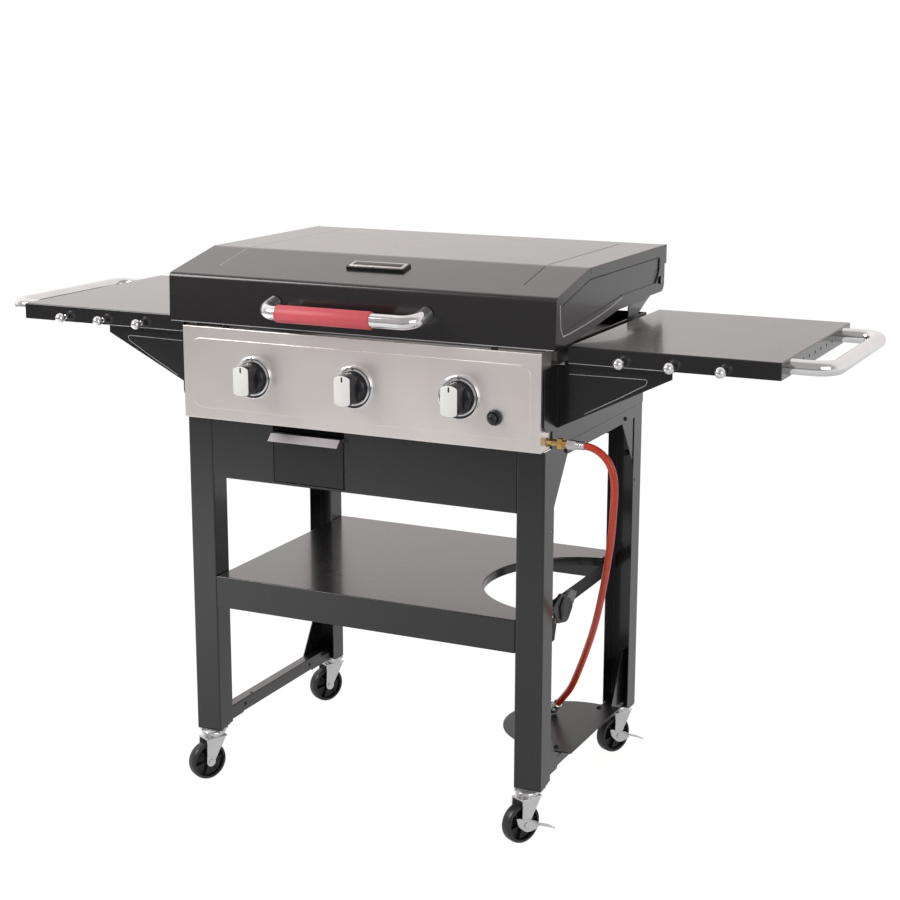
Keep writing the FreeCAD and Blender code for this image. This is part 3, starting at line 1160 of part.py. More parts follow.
def hose_edges():
    """Straight runs joined by arcs; an arc's radius is 0.45 of the shorter run over tan(half the turn)."""
    points = [FreeCAD.Vector(*place) for place in ROUTE]
    edges = []
    start = points[0]
    radii = []
    for before, corner, after in zip(points, points[1:], points[2:]):
        into = (corner - before).normalize()
        away = (after - corner).normalize()
        half_turn = into.getAngle(away) / 2
        setback = 0.45 * min((corner - before).Length, (after - corner).Length)
        radii.append(setback / math.tan(half_turn))
        first = corner - into * setback
        last = corner + away * setback
        inward = (away - into).normalize()
        middle = corner + inward * (radii[-1] / math.cos(half_turn) - radii[-1])
        edges.append(Part.LineSegment(start, first).toShape())
        edges.append(Part.Arc(first, middle, last).toShape())
        start = last
    edges.append(Part.LineSegment(start, points[-1]).toShape())
    print("hose arc radii", [round(radius) for radius in radii])
    return edges


def make_gas_line():
    """A brass inlet, a steel swivel nut with a crimp, the hose, and its coupling on the tray."""
    stub = rod("inlet_stub", "x", ("inlet_in", "inlet_along", "inlet_high"), "pipe_rad", "inlet_out - inlet_in")
    collar = hex_bar("inlet_hex", "x", ("panel_half + 5", "inlet_along", "inlet_high"), "11", "9")
    single("gas_inlet", fuse("gas_inlet", [stub, collar]))
    nut = hex_bar("nut_hex", "x", ("inlet_out", "inlet_along", "inlet_high"), "10.5", "12")
    crimp = rod("nut_crimp", "x", ("inlet_out + 12", "inlet_along", "inlet_high"), "8.2", "13")
    single("hose_nut", fuse("hose_nut", [nut, crimp]))

    edges = hose_edges()
    spine = Part.Wire(edges)
    first = edges[0].Curve.Direction
    ring = Part.Wire([Part.Circle(FreeCAD.Vector(*ROUTE[0]), first, size["hose_rad"]).toShape()])
    solid = spine.makePipeShell([ring], True, True)
    hose = doc.addObject("Part::Feature", "gas_hose")
    hose.Shape = solid
    print("hose length", round(spine.Length), "volume error",
          round(solid.Volume / (spine.Length * math.pi * size["hose_rad"] ** 2) - 1, 4))
    single("gas_hose", hose)

    end = FreeCAD.Vector(*ROUTE[-1])
    way = (end - FreeCAD.Vector(*ROUTE[-2])).normalize()
    turned = FreeCAD.Rotation(FreeCAD.Vector(0, 0, 1), way)
    pieces = []
    for name, kind, radius, begin, length in (
        ("coupling_crimp", "Part::Cylinder", 8.2, 0.0, 13.0), ("coupling_stem", "Part::Cylinder", 5.5, 12.0, 14.0),
        ("coupling_nut", "Part::Prism", 9.5, 18.0, 12.0),
    ):
        item = doc.addObject(kind, name)
        if kind == "Part::Prism":
            item.Polygon = 6
            item.Circumradius = radius
        else:
            item.Radius = radius
        item.Height = length
        item.Placement = FreeCAD.Placement(end + way * begin, turned)
        pieces.append(item)
    single("hose_coupling", fuse("hose_coupling", pieces))


for make in (
    make_legs, make_aprons, make_side_rails, make_gussets, make_bottom_rails, make_tank_tray, make_lower_shelf,
    make_strap, make_frame_bolts, make_firebox, make_control_panel, make_bezels, make_valves, make_knobs,
    make_igniter, make_burners, make_griddle, make_grease_parts, make_lid, make_lid_fittings, make_hinges,
    make_side_shelves, make_braces, make_casters, make_gas_line,
):
    make()
    doc.recompute()
doc.recompute()

for item in doc.Objects:
    assert "Invalid" not in item.State and "Error" not in item.State, item.Label + " failed"
for name, item in parts.items():
    assert not item.Shape.isNull() and item.Shape.isValid(), name + " has no valid shape"

# The shapes are written with the floor at zero and about the middle of the whole box's depth, which goes
# from the grip to the lid's rear face.
MIDDLE = FreeCAD.Vector(0, (size["handle_out"] + size["grip_rad"] - size["lid_rear"]) / 2, -size["floor_high"])
os.makedirs("parts", exist_ok=True)
for name, item in parts.items():
    item.Shape.translated(MIDDLE).exportStep("parts/%s.step" % name)
print(len(parts), "nodes")
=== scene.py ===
import math

import bpy
import numpy as np
from mathutils import Matrix, Vector


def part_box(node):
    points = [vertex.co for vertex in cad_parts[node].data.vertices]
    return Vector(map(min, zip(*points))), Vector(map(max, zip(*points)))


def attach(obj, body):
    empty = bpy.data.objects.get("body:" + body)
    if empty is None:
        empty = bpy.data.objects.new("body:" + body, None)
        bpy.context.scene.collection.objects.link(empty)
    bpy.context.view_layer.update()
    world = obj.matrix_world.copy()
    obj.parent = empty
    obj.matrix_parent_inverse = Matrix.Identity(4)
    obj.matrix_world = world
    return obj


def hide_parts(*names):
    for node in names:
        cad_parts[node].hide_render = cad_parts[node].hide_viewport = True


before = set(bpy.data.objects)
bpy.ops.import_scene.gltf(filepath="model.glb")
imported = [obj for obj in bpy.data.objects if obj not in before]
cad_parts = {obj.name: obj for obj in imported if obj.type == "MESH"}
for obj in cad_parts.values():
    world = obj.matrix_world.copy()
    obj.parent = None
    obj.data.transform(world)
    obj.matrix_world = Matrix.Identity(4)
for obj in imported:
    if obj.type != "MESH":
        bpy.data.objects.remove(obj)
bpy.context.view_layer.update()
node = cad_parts

# Outdoor gas griddle station. Metres, +X to the cook's right, +Y to the rear, +Z up, floor at Z = 0.
# Places in millimetres are counted from the middle of the leg frame, 6 mm under the floor, through at().

GRIP_AHEAD, UNDER_FLOOR = 0.3153, 0.006
MIDDLE = np.array((0.0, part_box("handle_grip")[0].y + GRIP_AHEAD, -UNDER_FLOOR))


def at(places):
    """One place or a list of places in millimetres as places of the frame in metres."""
    return MIDDLE + np.array(places, float) / 1000


# The studio: a plain pale floor, a white surround and large soft lamps.
# The surround is white to the camera; in reflections it is dimmer in front, where the studio is open.

def feed(graph, value, target):
    """Sets a socket to a number, or links an output to it."""
    if isinstance(value, (int, float)):
        target.default_value = value
    else:
        graph.links.new(value, target)


def maths(graph, operation, one, other):
    """A Math node's result from two numbers or outputs."""
    result = graph.nodes.new("ShaderNodeMath")
    result.operation = operation
    feed(graph, one, result.inputs[0])
    feed(graph, other, result.inputs[1])
    return result.outputs[0]


def pick(graph, mask, off, on):
    """off where the mask is 0 and on where it is 1; each is a number or an output."""
    mix = graph.nodes.new("ShaderNodeMix")
    for label, value in (("Factor", mask), ("A", off), ("B", on)):
        feed(graph, value, mix.inputs[label])
    return mix.outputs["Result"]


def ramp(graph, source, low, high, at_low, at_high):
    """A value that runs smoothly from at_low to at_high while the source runs from low to high."""
    span = graph.nodes.new("ShaderNodeMapRange")
    span.interpolation_type = "SMOOTHSTEP"
    for label, value in (("Value", source), ("From Min", low), ("From Max", high), ("To Min", at_low),
                         ("To Max", at_high)):
        feed(graph, value, span.inputs[label])
    return span.outputs["Result"]


def coordinates(graph, kind="Object"):
    """Texture coordinates of that kind, as one vector."""
    return graph.nodes.new("ShaderNodeTexCoord").outputs[kind]


def split(graph, vector):
    """A vector's numbers X, Y and Z."""
    axes = graph.nodes.new("ShaderNodeSeparateXYZ")
    graph.links.new(vector, axes.inputs[0])
    return axes.outputs


def ray_kinds(graph):
    """Light Path's masks: camera rays, and glossy or transmission rays."""
    path = graph.nodes.new("ShaderNodeLightPath").outputs
    return path["Is Camera Ray"], maths(graph, "MAXIMUM", path["Is Glossy Ray"], path["Is Transmission Ray"])


SKY_SEEN, SKY_LIGHT = 1.03, 0.55
SKY_FRONT, SKY_REAR = 0.42, 1.0
SKY_LEFT, SKY_RIGHT = 1.04, 0.86


def fill_surround(graph):
    """White to the camera; its mirror image is warmer, dim in front and a little dimmer to the right."""
    sky = graph.nodes["Background"]
    axes = split(graph, coordinates(graph, "Generated"))
    camera_ray, mirror_ray = ray_kinds(graph)
    tint = graph.nodes.new("ShaderNodeMix")
    tint.data_type = "RGBA"
    tint.inputs["A"].default_value = (1.0, 0.985, 0.975, 1)
    tint.inputs["B"].default_value = (1.0, 0.945, 0.93, 1)
    graph.links.new(mirror_ray, tint.inputs["Factor"])
    graph.links.new(tint.outputs["Result"], sky.inputs["Color"])
    mirrored = maths(graph, "MULTIPLY", ramp(graph, axes["Y"], -0.35, 0.25, SKY_FRONT, SKY_REAR),
                     ramp(graph, axes["X"], -0.62, -0.16, SKY_LEFT, SKY_RIGHT))
    unseen = pick(graph, mirror_ray, SKY_LIGHT, mirrored)
    graph.links.new(pick(graph, camera_ray, unseen, SKY_SEEN), sky.inputs["Strength"])


scene = bpy.context.scene
scene.view_settings.view_transform = "Standard"
scene.world = bpy.data.worlds.new("surround")
scene.world.use_nodes = True
fill_surround(scene.world.node_tree)

FLOOR_SEEN, GLOW_SHARE = 1.08, 0.9
SHADE_MIDDLE = (1.0, 0.9, 0.0)


def floor_finish():
    """White to the camera; its mirror image is brightest to the left, fades to the front and behind, and
    carries a painted shadow round SHADE_MIDDLE.
    """
    material = bpy.data.materials.new("studio_floor")
    material.use_nodes = True
    graph = material.node_tree
    shader = graph.nodes["Principled BSDF"]
    shader.inputs["Base Color"].default_value = (0.86, 0.85, 0.84, 1)
    shader.inputs["Roughness"].default_value = 0.9
    glow = graph.nodes.new("ShaderNodeEmission")
    glow.inputs["Color"].default_value = (1.0, 0.995, 0.99, 1)
    place = coordinates(graph)
    axes = split(graph, place)
    # painted shadow: the floor's mirror image is darkened to 0.65 round SHADE_MIDDLE and fades back to full
    # by 4.2 m
    distance = graph.nodes.new("ShaderNodeVectorMath")
    distance.operation = "DISTANCE"
    distance.inputs[1].default_value = SHADE_MIDDLE
    graph.links.new(place, distance.inputs[0])
    across = maths(graph, "MULTIPLY", ramp(graph, axes["X"], -4.2, -2.6, 0.2, 1.0),
                   ramp(graph, axes["X"], -1.6, 0.0, 1.7, 0.9))
    shaded = maths(graph, "MULTIPLY", across, ramp(graph, distance.outputs["Value"], 0.5, 4.2, 0.65, 1.0))
    mirrored = maths(graph, "MULTIPLY", ramp(graph, axes["Y"], -3.6, -1.0, 0.115, 0.95), shaded)
    camera_ray, mirror_ray = ray_kinds(graph)
    graph.links.new(pick(graph, camera_ray, mirrored, FLOOR_SEEN), glow.inputs["Strength"])
    share = pick(graph, camera_ray, pick(graph, mirror_ray, 0.0, GLOW_SHARE), GLOW_SHARE)
    blend = graph.nodes.new("ShaderNodeMixShader")
    graph.links.new(share, blend.inputs["Fac"])
    graph.links.new(shader.outputs["BSDF"], blend.inputs[1])
    graph.links.new(glow.outputs["Emission"], blend.inputs[2])
    graph.links.new(blend.outputs["Shader"], graph.nodes["Material Output"].inputs["Surface"])
    return material


def new_mesh(name, points, faces):
    """A mesh object at the origin from points and lists of corner numbers."""
    mesh = bpy.data.meshes.new(name)
    mesh.from_pydata(np.asarray(points, float).tolist(), [], faces)
    mesh.update()
    piece = bpy.data.objects.new(name, mesh)
    scene.collection.objects.link(piece)
    return piece


FLOOR_HALF = 9.0
floor = new_mesh("floor", [(-FLOOR_HALF, -FLOOR_HALF, 0), (FLOOR_HALF, -FLOOR_HALF, 0),
                           (FLOOR_HALF, FLOOR_HALF, 0), (-FLOOR_HALF, FLOOR_HALF, 0)], [(0, 1, 2, 3)])
floor.data.materials.append(floor_finish())


def lamp(name, place, aim_high, size, power, colour=(1.0, 1.0, 1.0)):
    """A square soft lamp, aimed at a height over the cart's middle."""
    light = bpy.data.lights.new(name, "AREA")
    light.shape = "SQUARE"
    light.size = size
    light.energy = power
    light.color = colour
    piece = bpy.data.objects.new(name, light)
    piece.location = place
    piece.rotation_euler = (Vector((0, 0, aim_high)) - Vector(place)).to_track_quat("-Z", "Y").to_euler()
    scene.collection.objects.link(piece)
    return piece


lamp("key_lamp", (-2.6, -2.2, 3.0), aim_high=0.6, size=1.8, power=84, colour=(1.0, 0.98, 0.96))
lamp("fill_lamp", (3.2, -2.6, 1.7), aim_high=0.6, size=2.4, power=30)
rear_lamp = lamp("rear_lamp", (0.4, 3.2, 3.2), aim_high=0.7, size=2.4, power=34)
rear_lamp.visible_glossy = False

CAMERA_PLACE = MIDDLE + (1.46334, -2.94081, 1.37795)
CAMERA_AZIMUTH = math.radians(25.477)
CAMERA_ELEVATION = math.radians(12.925)
CAMERA_ROLL = math.radians(0.108)
FOCAL_PIXELS = 1813.74
PICTURE_PIXELS = 900
eye = bpy.data.cameras.new("camera")
eye.sensor_fit = "AUTO"
eye.sensor_width = 36.0
eye.lens = FOCAL_PIXELS / PICTURE_PIXELS * eye.sensor_width
camera = bpy.data.objects.new("camera", eye)
scene.collection.objects.link(camera)
camera.matrix_world = (
    Matrix.Translation(CAMERA_PLACE) @ Matrix.Rotation(CAMERA_AZIMUTH, 4, "Z")
    @ Matrix.Rotation(math.pi / 2 - CAMERA_ELEVATION, 4, "X") @ Matrix.Rotation(CAMERA_ROLL, 4, "Z"))
scene.camera = camera


# The gas hose: rubber with a smooth red cover, about 12 mm thick.
# It leaves its crimp level, hangs outside the cart and ends in a coupling that rests on the tray.

def new_group(name, inputs, outputs):
    """A shader node group with named sockets, and the sockets of its entry and its exit."""
    graph = bpy.data.node_groups.new(name, "ShaderNodeTree")
    for way, sockets in (("INPUT", inputs), ("OUTPUT", outputs)):
        for label, kind in sockets:
            graph.interface.new_socket(name=label, in_out=way, socket_type="NodeSocket" + kind)
    return graph, graph.nodes.new("NodeGroupInput").outputs, graph.nodes.new("NodeGroupOutput").inputs


def noise(graph, vector, scale, detail):
    """The factor of noise over a vector, at a linked scale."""
    pattern = graph.nodes.new("ShaderNodeTexNoise")
    pattern.inputs["Detail"].default_value = detail
    graph.links.new(vector, pattern.inputs["Vector"])
    graph.links.new(scale, pattern.inputs["Scale"])
    return pattern.outputs["Fac"]


def scaled(graph, colour, factor):
    """A colour times a factor."""
    product = graph.nodes.new("ShaderNodeVectorMath")
    product.operation = "SCALE"
    graph.links.new(colour, product.inputs[0])
    graph.links.new(factor, product.inputs["Scale"])
    return product.outputs[0]


def mottle_group():
    """Soft uneven tone: noise turns a colour and a roughness a little up and down."""
    graph, entry, leave = new_group(
        "mottle", (("Scale", "Float"), ("Amount", "Float"), ("Roughness", "Float"), ("Colour", "Color")),
        (("Colour", "Color"), ("Roughness", "Float")))
    centred = maths(graph, "SUBTRACT", noise(graph, coordinates(graph), entry["Scale"], 3.0), 0.5)
    factor = maths(graph, "ADD", maths(graph, "MULTIPLY", centred, entry["Amount"]), 1.0)
    graph.links.new(scaled(graph, entry["Colour"], factor), leave["Colour"])
    graph.links.new(maths(graph, "MULTIPLY", entry["Roughness"], factor), leave["Roughness"])
    return graph


def grain_group():
    """Fine surface relief: a height from noise stretched by a vector, for a Bump node."""
    graph, entry, leave = new_group("grain", (("Scale", "Float"), ("Stretch", "Vector")),
                                    (("Height", "Float"),))
    stretch = graph.nodes.new("ShaderNodeVectorMath")
    stretch.operation = "MULTIPLY"
    graph.links.new(coordinates(graph), stretch.inputs[0])
    graph.links.new(entry["Stretch"], stretch.inputs[1])
    graph.links.new(noise(graph, stretch.outputs[0], entry["Scale"], 2.0), leave["Height"])
    return graph


MOTTLE = mottle_group()
GRAIN = grain_group()
EVEN = (1, 1, 1)


def finish(name, colour, roughness, mottle=(30.0, 0.25), grain=(900.0, EVEN), relief=(0.05, 0.0002), edge=0.0,
           **plain):
    """A material of mottled colour and roughness with fine relief.

    mottle is the noise's scale and amount, grain the noise's scale and stretch, relief the bump's strength
    and distance, edge a radius that softens the light on folds, and plain the shader's own sockets.
    """
    material = bpy.data.materials.new(name)
    material.use_nodes = True
    graph = material.node_tree
    shader = graph.nodes["Principled BSDF"]
    for label, value in plain.items():
        shader.inputs[label.replace("_", " ")].default_value = value
    tone = graph.nodes.new("ShaderNodeGroup")
    tone.node_tree = MOTTLE
    tone.name = "tone"
    tone.inputs["Scale"].default_value, tone.inputs["Amount"].default_value = mottle
    tone.inputs["Roughness"].default_value = roughness
    tone.inputs["Colour"].default_value = (*colour, 1)
    graph.links.new(tone.outputs["Colour"], shader.inputs["Base Color"])
    graph.links.new(tone.outputs["Roughness"], shader.inputs["Roughness"])
    fine = graph.nodes.new("ShaderNodeGroup")
    fine.node_tree = GRAIN
    fine.inputs["Scale"].default_value, fine.inputs["Stretch"].default_value = grain
    bump = graph.nodes.new("ShaderNodeBump")
    bump.inputs["Strength"].default_value, bump.inputs["Distance"].default_value = relief
    graph.links.new(fine.outputs["Height"], bump.inputs["Height"])
    graph.links.new(bump.outputs["Normal"], shader.inputs["Normal"])
    if edge:
        soften = graph.nodes.new("ShaderNodeBevel")
        soften.inputs["Radius"].default_value = edge
        graph.links.new(soften.outputs["Normal"], bump.inputs["Normal"])
    return material


def paint(piece, material):
    """Gives the whole piece one material."""
    piece.data.materials.clear()
    piece.data.materials.append(material)


HOSE_THICK = 0.0124
# the solid hose's route, moved a few millimetres to follow the photograph
HOSE_ROUTE = at([
    (413.5, -222.0, 718.0), (427.0, -222.0, 717.5), (450.6, -222.0, 703.0), (464.5, -222.0, 678.0),
    (467.0, -220.5, 646.0), (462.0, -212.0, 608.0), (451.8, -191.0, 556.5), (433.6, -161.0, 494.5),
    (412.4, -127.0, 429.5), (387.0, -89.0, 364.5), (357.8, -50.0, 303.0), (331.0, -18.0, 250.0),
    (307.5, 8.0, 206.0), (286.5, 28.0, 178.5), (267.0, 44.0, 155.2),
])

line = bpy.data.curves.new("gas_hose_line", "CURVE")
line.dimensions = "3D"
line.resolution_u = 12
line.bevel_depth = HOSE_THICK / 2
line.bevel_resolution = 6
line.use_fill_caps = True
run = line.splines.new("NURBS")
run.points.add(len(HOSE_ROUTE) - 1)
run.points.foreach_set("co", np.column_stack([HOSE_ROUTE, np.ones(len(HOSE_ROUTE))]).ravel())
run.order_u = 3
run.use_endpoint_u = True
hose = bpy.data.objects.new("hose_cover", line)
scene.collection.objects.link(hose)
paint(hose, finish("hose_red", (0.47, 0.032, 0.008), 0.3, mottle=(60, 0.2), relief=(0.04, 0.0002),
                   Coat_Weight=0.2, Coat_Roughness=0.15))
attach(hose, "cart")
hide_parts("gas_hose")


# The hose's coupling: a crimped ferrule, a short stem and a hexagon nut, plated steel.
# The ferrule has three rolled grooves and the nut's edges are chamfered.

def grid_faces(rows, columns, close_rows):
    """Quads between neighbouring points of a grid that is stored row by row; each row is a closed ring."""
    row = np.arange(rows if close_rows else rows - 1)[:, None]
    column = np.arange(columns)[None, :]
    after_row, after_column = (row + 1) % rows, (column + 1) % columns
    corners = np.stack([row * columns + column, row * columns + after_column,
                        after_row * columns + after_column, after_row * columns + column], -1)
    return corners.reshape(-1, 4).tolist()


def capped(points, close_rows=False):
    """Faces of a grid whose rows are closed rings, with a flat cap on the first and the last ring."""
    rows, columns = points.shape[:2]
    faces = grid_faces(rows, columns, close_rows)
    if not close_rows:
        faces.append(list(range(columns))[::-1])
        faces.append(list(range((rows - 1) * columns, rows * columns)))
    return points.reshape(-1, 3), faces


def turned(profile, start, way, around=48, close_rows=False):
    """Points of a profile (millimetres along an axis, radius) carried round that axis in equal steps."""
    way = np.array(way, float) / np.linalg.norm(way)
    side = np.cross(way, (0.0, 0.0, 1.0) if abs(way[2]) < 0.9 else (1.0, 0.0, 0.0))
    side /= np.linalg.norm(side)
    angle = np.linspace(0, 2 * math.pi, around, endpoint=False)
    ring = np.outer(np.cos(angle), side) + np.outer(np.sin(angle), np.cross(way, side))
    profile = np.array(profile, float)[:, None, :] / 1000
    points = np.array(start, float) + profile[..., 0:1] * way + profile[..., 1:2] * ring
    return capped(points, close_rows)


def build(name, patches, materials, sharp=34.0):
    """One piece from patches (points, faces) with material numbers; folds over an angle stay sharp."""
    points, faces, numbers, count = [], [], [], 0
    for (some_points, some_faces), number in patches:
        points.append(some_points)
        faces += [[corner + count for corner in face] for face in some_faces]
        numbers += [number] * len(some_faces)
        count += len(some_points)
    piece = new_mesh(name, np.concatenate(points), faces)
    for material in materials:
        piece.data.materials.append(material)
    piece.data.polygons.foreach_set("material_index", numbers)
    piece.data.polygons.foreach_set("use_smooth", [True] * len(faces))
    piece.data.set_sharp_from_angle(angle=math.radians(sharp))
    return piece


def fit(piece, body, slot, *nodes):
    """Lets the piece ride on a body and stand for CAD nodes; the slot is not used."""
    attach(piece, body)
    if nodes:
        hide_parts(*nodes)
    return piece


def grooved(start, radius, count, pitch, depth):
    """A profile with rolled grooves: the radius dips by the eighth power of a cosine once in each pitch."""
    along = np.linspace(0, count * pitch, count * 10 + 1)
    dip = np.cos(np.pi * (along / pitch - 0.5)) ** 8 * depth
    return np.column_stack([start + along, radius - dip]).tolist()


zinc = finish("zinc_plate", (0.70, 0.70, 0.71), 0.18, mottle=(60, 0.2), grain=(500, EVEN), Metallic=0.95)
dark_seal = finish("dark_seal", (0.012, 0.012, 0.013), 0.45, mottle=(200, 0.3))
HOSE_END = HOSE_ROUTE[-1]
END_WAY = HOSE_ROUTE[-1] - HOSE_ROUTE[-2]
FERRULE = [(0, 7.2), (0.6, 8.1)] + grooved(1, 8.2, 3, 3.6, 0.7) + [(12.4, 8.1), (13, 7.2)]
coupling = build("coupling", [
    (turned(FERRULE, HOSE_END, END_WAY), 0),
    (turned([(12.6, 5.5), (26, 5.5)], HOSE_END, END_WAY), 0),
    (turned([(18, 8.2), (19, 9.5), (28.6, 9.5), (29.6, 8.4)], HOSE_END, END_WAY, around=6), 0),
    (turned([(29.4, 6.8), (30, 6.2), (30, 3.2), (29.5, 3.0)], HOSE_END, END_WAY, around=32), 1),
], [zinc, dark_seal])
fit(coupling, "cart", "zinc_steel", "hose_coupling")


# The cart: legs, rails, gussets, aprons and shelves of folded steel sheet with a black powder coat.
# The coat is semi-gloss: a clear skin with a slight orange peel over a duller ground.

FOLD_RADIUS = 0.0012


def coated(name, roughness, peel=0.008, **plain):
    """Black powder coat with a slight orange peel and softened folds."""
    return finish(name, (0.0094, 0.0083, 0.0102), roughness, mottle=(14, 0.15), grain=(500, EVEN),
                  relief=(peel, 0.00005), edge=FOLD_RADIUS, **plain)


powder = coated("powder_coat", 0.27, IOR=1.5, Coat_Weight=0.55, Coat_Roughness=0.1)
for name in (
    "bottom_rails", "corner_gussets", "firebox", "front_apron", "grease_guide", "leg_front_left",
    "leg_front_right", "leg_rear_left", "leg_rear_right", "lower_shelf", "rear_rail", "shelf_braces",
    "shelf_left", "shelf_right", "side_rails", "hinge_brackets",
):
    paint(node[name], powder)
paint(node["tank_tray"], coated("tray_coat", 0.34, peel=0.01, IOR=1.5))


# The frame's bolts, black: a flanged hexagon head on each side rail's gusset, a nut on each leg's web, round
# plugs in the bottom rails, and two round heads with a six-sided recess on the tray.

# each row is a place across, along and up, the way that it faces, the points round it and its profile
CORNER_BOLTS = (
    ((350.0, 146, 688), (1, 0), 32, [(-2, 4.4), (0.7, 4.5), (1.1, 4.0)]),
    ((350.0, 146, 688), (1, 0), 6, [(0.8, 3.4), (2.5, 3.4), (2.95, 2.9)]),
    ((321.0, 237.5, 602.5), (0, -1), 6, [(-0.2, 5.9), (3.6, 5.9), (4.4, 5.0)]),
    ((321.0, 237.5, 602.5), (0, -1), 24, [(4.2, 2.9), (6.5, 2.9), (7, 2.4)]),
    ((315.0, 124.0, 115.0), (-1, 0), 32, [(-1.4, 3.4), (0, 3.4), (0, 4.5), (0.5, 4.3), (0.8, 3.6), (0.9, 2.2),
                                          (-0.6, 2.0)]),
)
TRAY_BOLT_ACROSS, TRAY_BOLT_HIGH = 320.0, 128.5
TRAY_MIDDLE, TRAY_BOLT_REACH = 12.6, 108.0
TRAY_HEAD = [(-6, 3.0), (-0.2, 3.0), (-0.2, 5.5), (0.8, 5.5), (2.0, 4.7), (2.8, 3.4), (2.9, 2.4), (1.4, 2.3)]
bolt_black = finish("bolt_black", (0.02, 0.02, 0.021), 0.3, mottle=(200, 0.5), Metallic=0.3)
heads = []
for side in (1, -1):
    for end in (1, -1):
        for (across, along, up), (to_side, to_end), around, profile in CORNER_BOLTS:
            foot = at((side * across, end * along, up))
            heads.append((turned(profile, foot, (side * to_side, end * to_end, 0), around=around), 0))
for end in (1, -1):
    foot = at((TRAY_BOLT_ACROSS, TRAY_MIDDLE + end * TRAY_BOLT_REACH, TRAY_BOLT_HIGH))
    heads.append((turned(TRAY_HEAD, foot, (0, 0, 1), around=36), 0))
fit(build("bolt_heads", heads, [bolt_black]), "cart", "zinc_steel", "frame_bolts")


# The bottle strap: black woven tape across the mouth of the cut-out, hooked to the rear faces of the legs.
# Its rounded flat section is carried straight from leg to leg; the free end hangs from the buckle.

def ribbon(path, wide, thick, across):
    """A flat section with round edges carried along a path; it stays parallel to the width's direction."""
    direction = np.gradient(path, axis=0)
    direction /= np.linalg.norm(direction, axis=1)[:, None]
    across = np.array(across, float)
    out = np.cross(across, direction)
    out /= np.linalg.norm(out, axis=1)[:, None]
    angle = np.linspace(0, 2 * math.pi, 24, endpoint=False)
    level = np.sign(np.sin(angle)) * np.abs(np.sin(angle)) ** 0.35 * wide / 2
    rise = np.sign(np.cos(angle)) * np.abs(np.cos(angle)) ** 0.35 * thick / 2
    points = path[:, None] + level[None, :, None] * across + rise[None, :, None] * out[:, None]
    return capped(points)


webbing = finish("webbing", (0.016, 0.016, 0.017), 0.62, mottle=(90, 0.5), grain=(420, (0.2, 2.2, 0.5)),
                 relief=(0.6, 0.0006))
TAPE_THICK, BAND_WIDE, TAIL_WIDE = 0.0015, 0.0285, 0.0225
BAND_ACROSS, BAND_HIGH, BAND_HALF, BAND_SAG = 301.3, 383.0, 226.0, 1.2
along = np.linspace(-BAND_HALF, BAND_HALF, 60)
sag = BAND_SAG * np.cos(along / BAND_HALF * math.pi / 2)
band = at(np.column_stack([np.full(60, BAND_ACROSS), along, BAND_HIGH - sag]))
fall = np.linspace(0, 1, 20)
tail = at(np.column_stack([305.3 + 0.3 * np.sin(fall * 5), -74 - 12 * fall, 366 - 44 * fall]))
fit(build("strap_tape", [
    (ribbon(band, BAND_WIDE, TAPE_THICK, (0, 0, 1)), 0),
    (ribbon(tail, TAIL_WIDE, TAPE_THICK, (0, 1, 0)), 0),
], [webbing]), "cart", "webbing", "tank_strap")


# The strap's cam buckle: a moulded black frame with a hinged lever, and a flat grey slide and hook beside it.
# The lever stands a little proud and its face is slightly hollowed for the thumb.

def slab(outline, start, levels, across=(1, 0, 0), up=(0, 0, 1)):
    """Copies of an outline, each at a height over a plane and drawn in towards the middle by an inset.

    levels is a list of (height, inset) in millimetres. The plane faces the front unless across and up say
    otherwise.
    """
    outline = np.array(outline, float)
    middle = (outline.max(0) + outline.min(0)) / 2
    half = (outline.max(0) - outline.min(0)) / 2
    levels = np.array(levels, float)
    shrunk = middle + (outline - middle) * (1 - levels[:, None, 1:2] / half)
    across, up = np.array(across, float), np.array(up, float)
    out = np.cross(across, up)
    points = shrunk[..., 0:1] * across + shrunk[..., 1:2] * up + levels[:, None, 0:1] * out
    return capped(np.array(start, float) + points / 1000)


def oblong(left, low, right, high):
    """The corners of an upright oblong."""
    return [(left, low), (right, low), (right, high), (left, high)]


def rounded(corners, radius, steps=6):
    """A polygon with its corners drawn as arcs: their points follow a quadratic blend of the two sides."""
    corners = np.array(corners, float)
    before, after = np.roll(corners, 1, 0), np.roll(corners, -1, 0)
    into = (before - corners) / np.linalg.norm(before - corners, axis=1)[:, None] * radius
    away = (after - corners) / np.linalg.norm(after - corners, axis=1)[:, None] * radius
    share = np.linspace(0, 1, steps)[None, :, None]
    points = corners[:, None] + into[:, None] * (1 - share) ** 2 + away[:, None] * share ** 2
    return points.reshape(-1, 2)


buckle_black = finish("buckle_black", (0.012, 0.012, 0.013), 0.35, mottle=(120, 0.4))
slide_grey = finish("slide_grey", (0.16, 0.16, 0.165), 0.4, mottle=(120, 0.3))
BUCKLE_FACE = at((302.3, 0, 0))
FRAME = rounded([(-92, 385), (-66, 350), (-24, 341), (3, 366), (-12, 388), (-50, 402)], 5)
LEVER = rounded([(-62, 380), (-56, 354), (-26, 344), (-2, 366), (-14, 384), (-44, 394)], 5)
SLIDE = rounded([(-42, 385), (-6, 398), (22, 386), (2, 366), (-18, 372)], 3)
HOOK = rounded([(-92, 388), (-64, 381), (-60, 372), (-74, 352), (-80, 352), (-76, 368), (-92, 380)], 2)
fit(build("cam_buckle", [
    (slab(outline, BUCKLE_FACE, levels, across=(0, 1, 0)), colour) for outline, levels, colour in (
        (FRAME, [(0, 0.8), (0.8, 0), (5.2, 0), (6.2, 1.2)], 0),
        (LEVER, [(6, 0), (8.4, 0), (9.4, 1.6), (9.2, 4), (8.2, 6)], 0),
        (SLIDE, [(0.2, 0), (6.6, 0), (7.4, 0.8)], 1),
        (HOOK, [(1, 0), (4.0, 0), (4.8, 0.8)], 1),
    )
], [buckle_black, slide_grey]), "cart", "black_plastic", "strap_buckle")


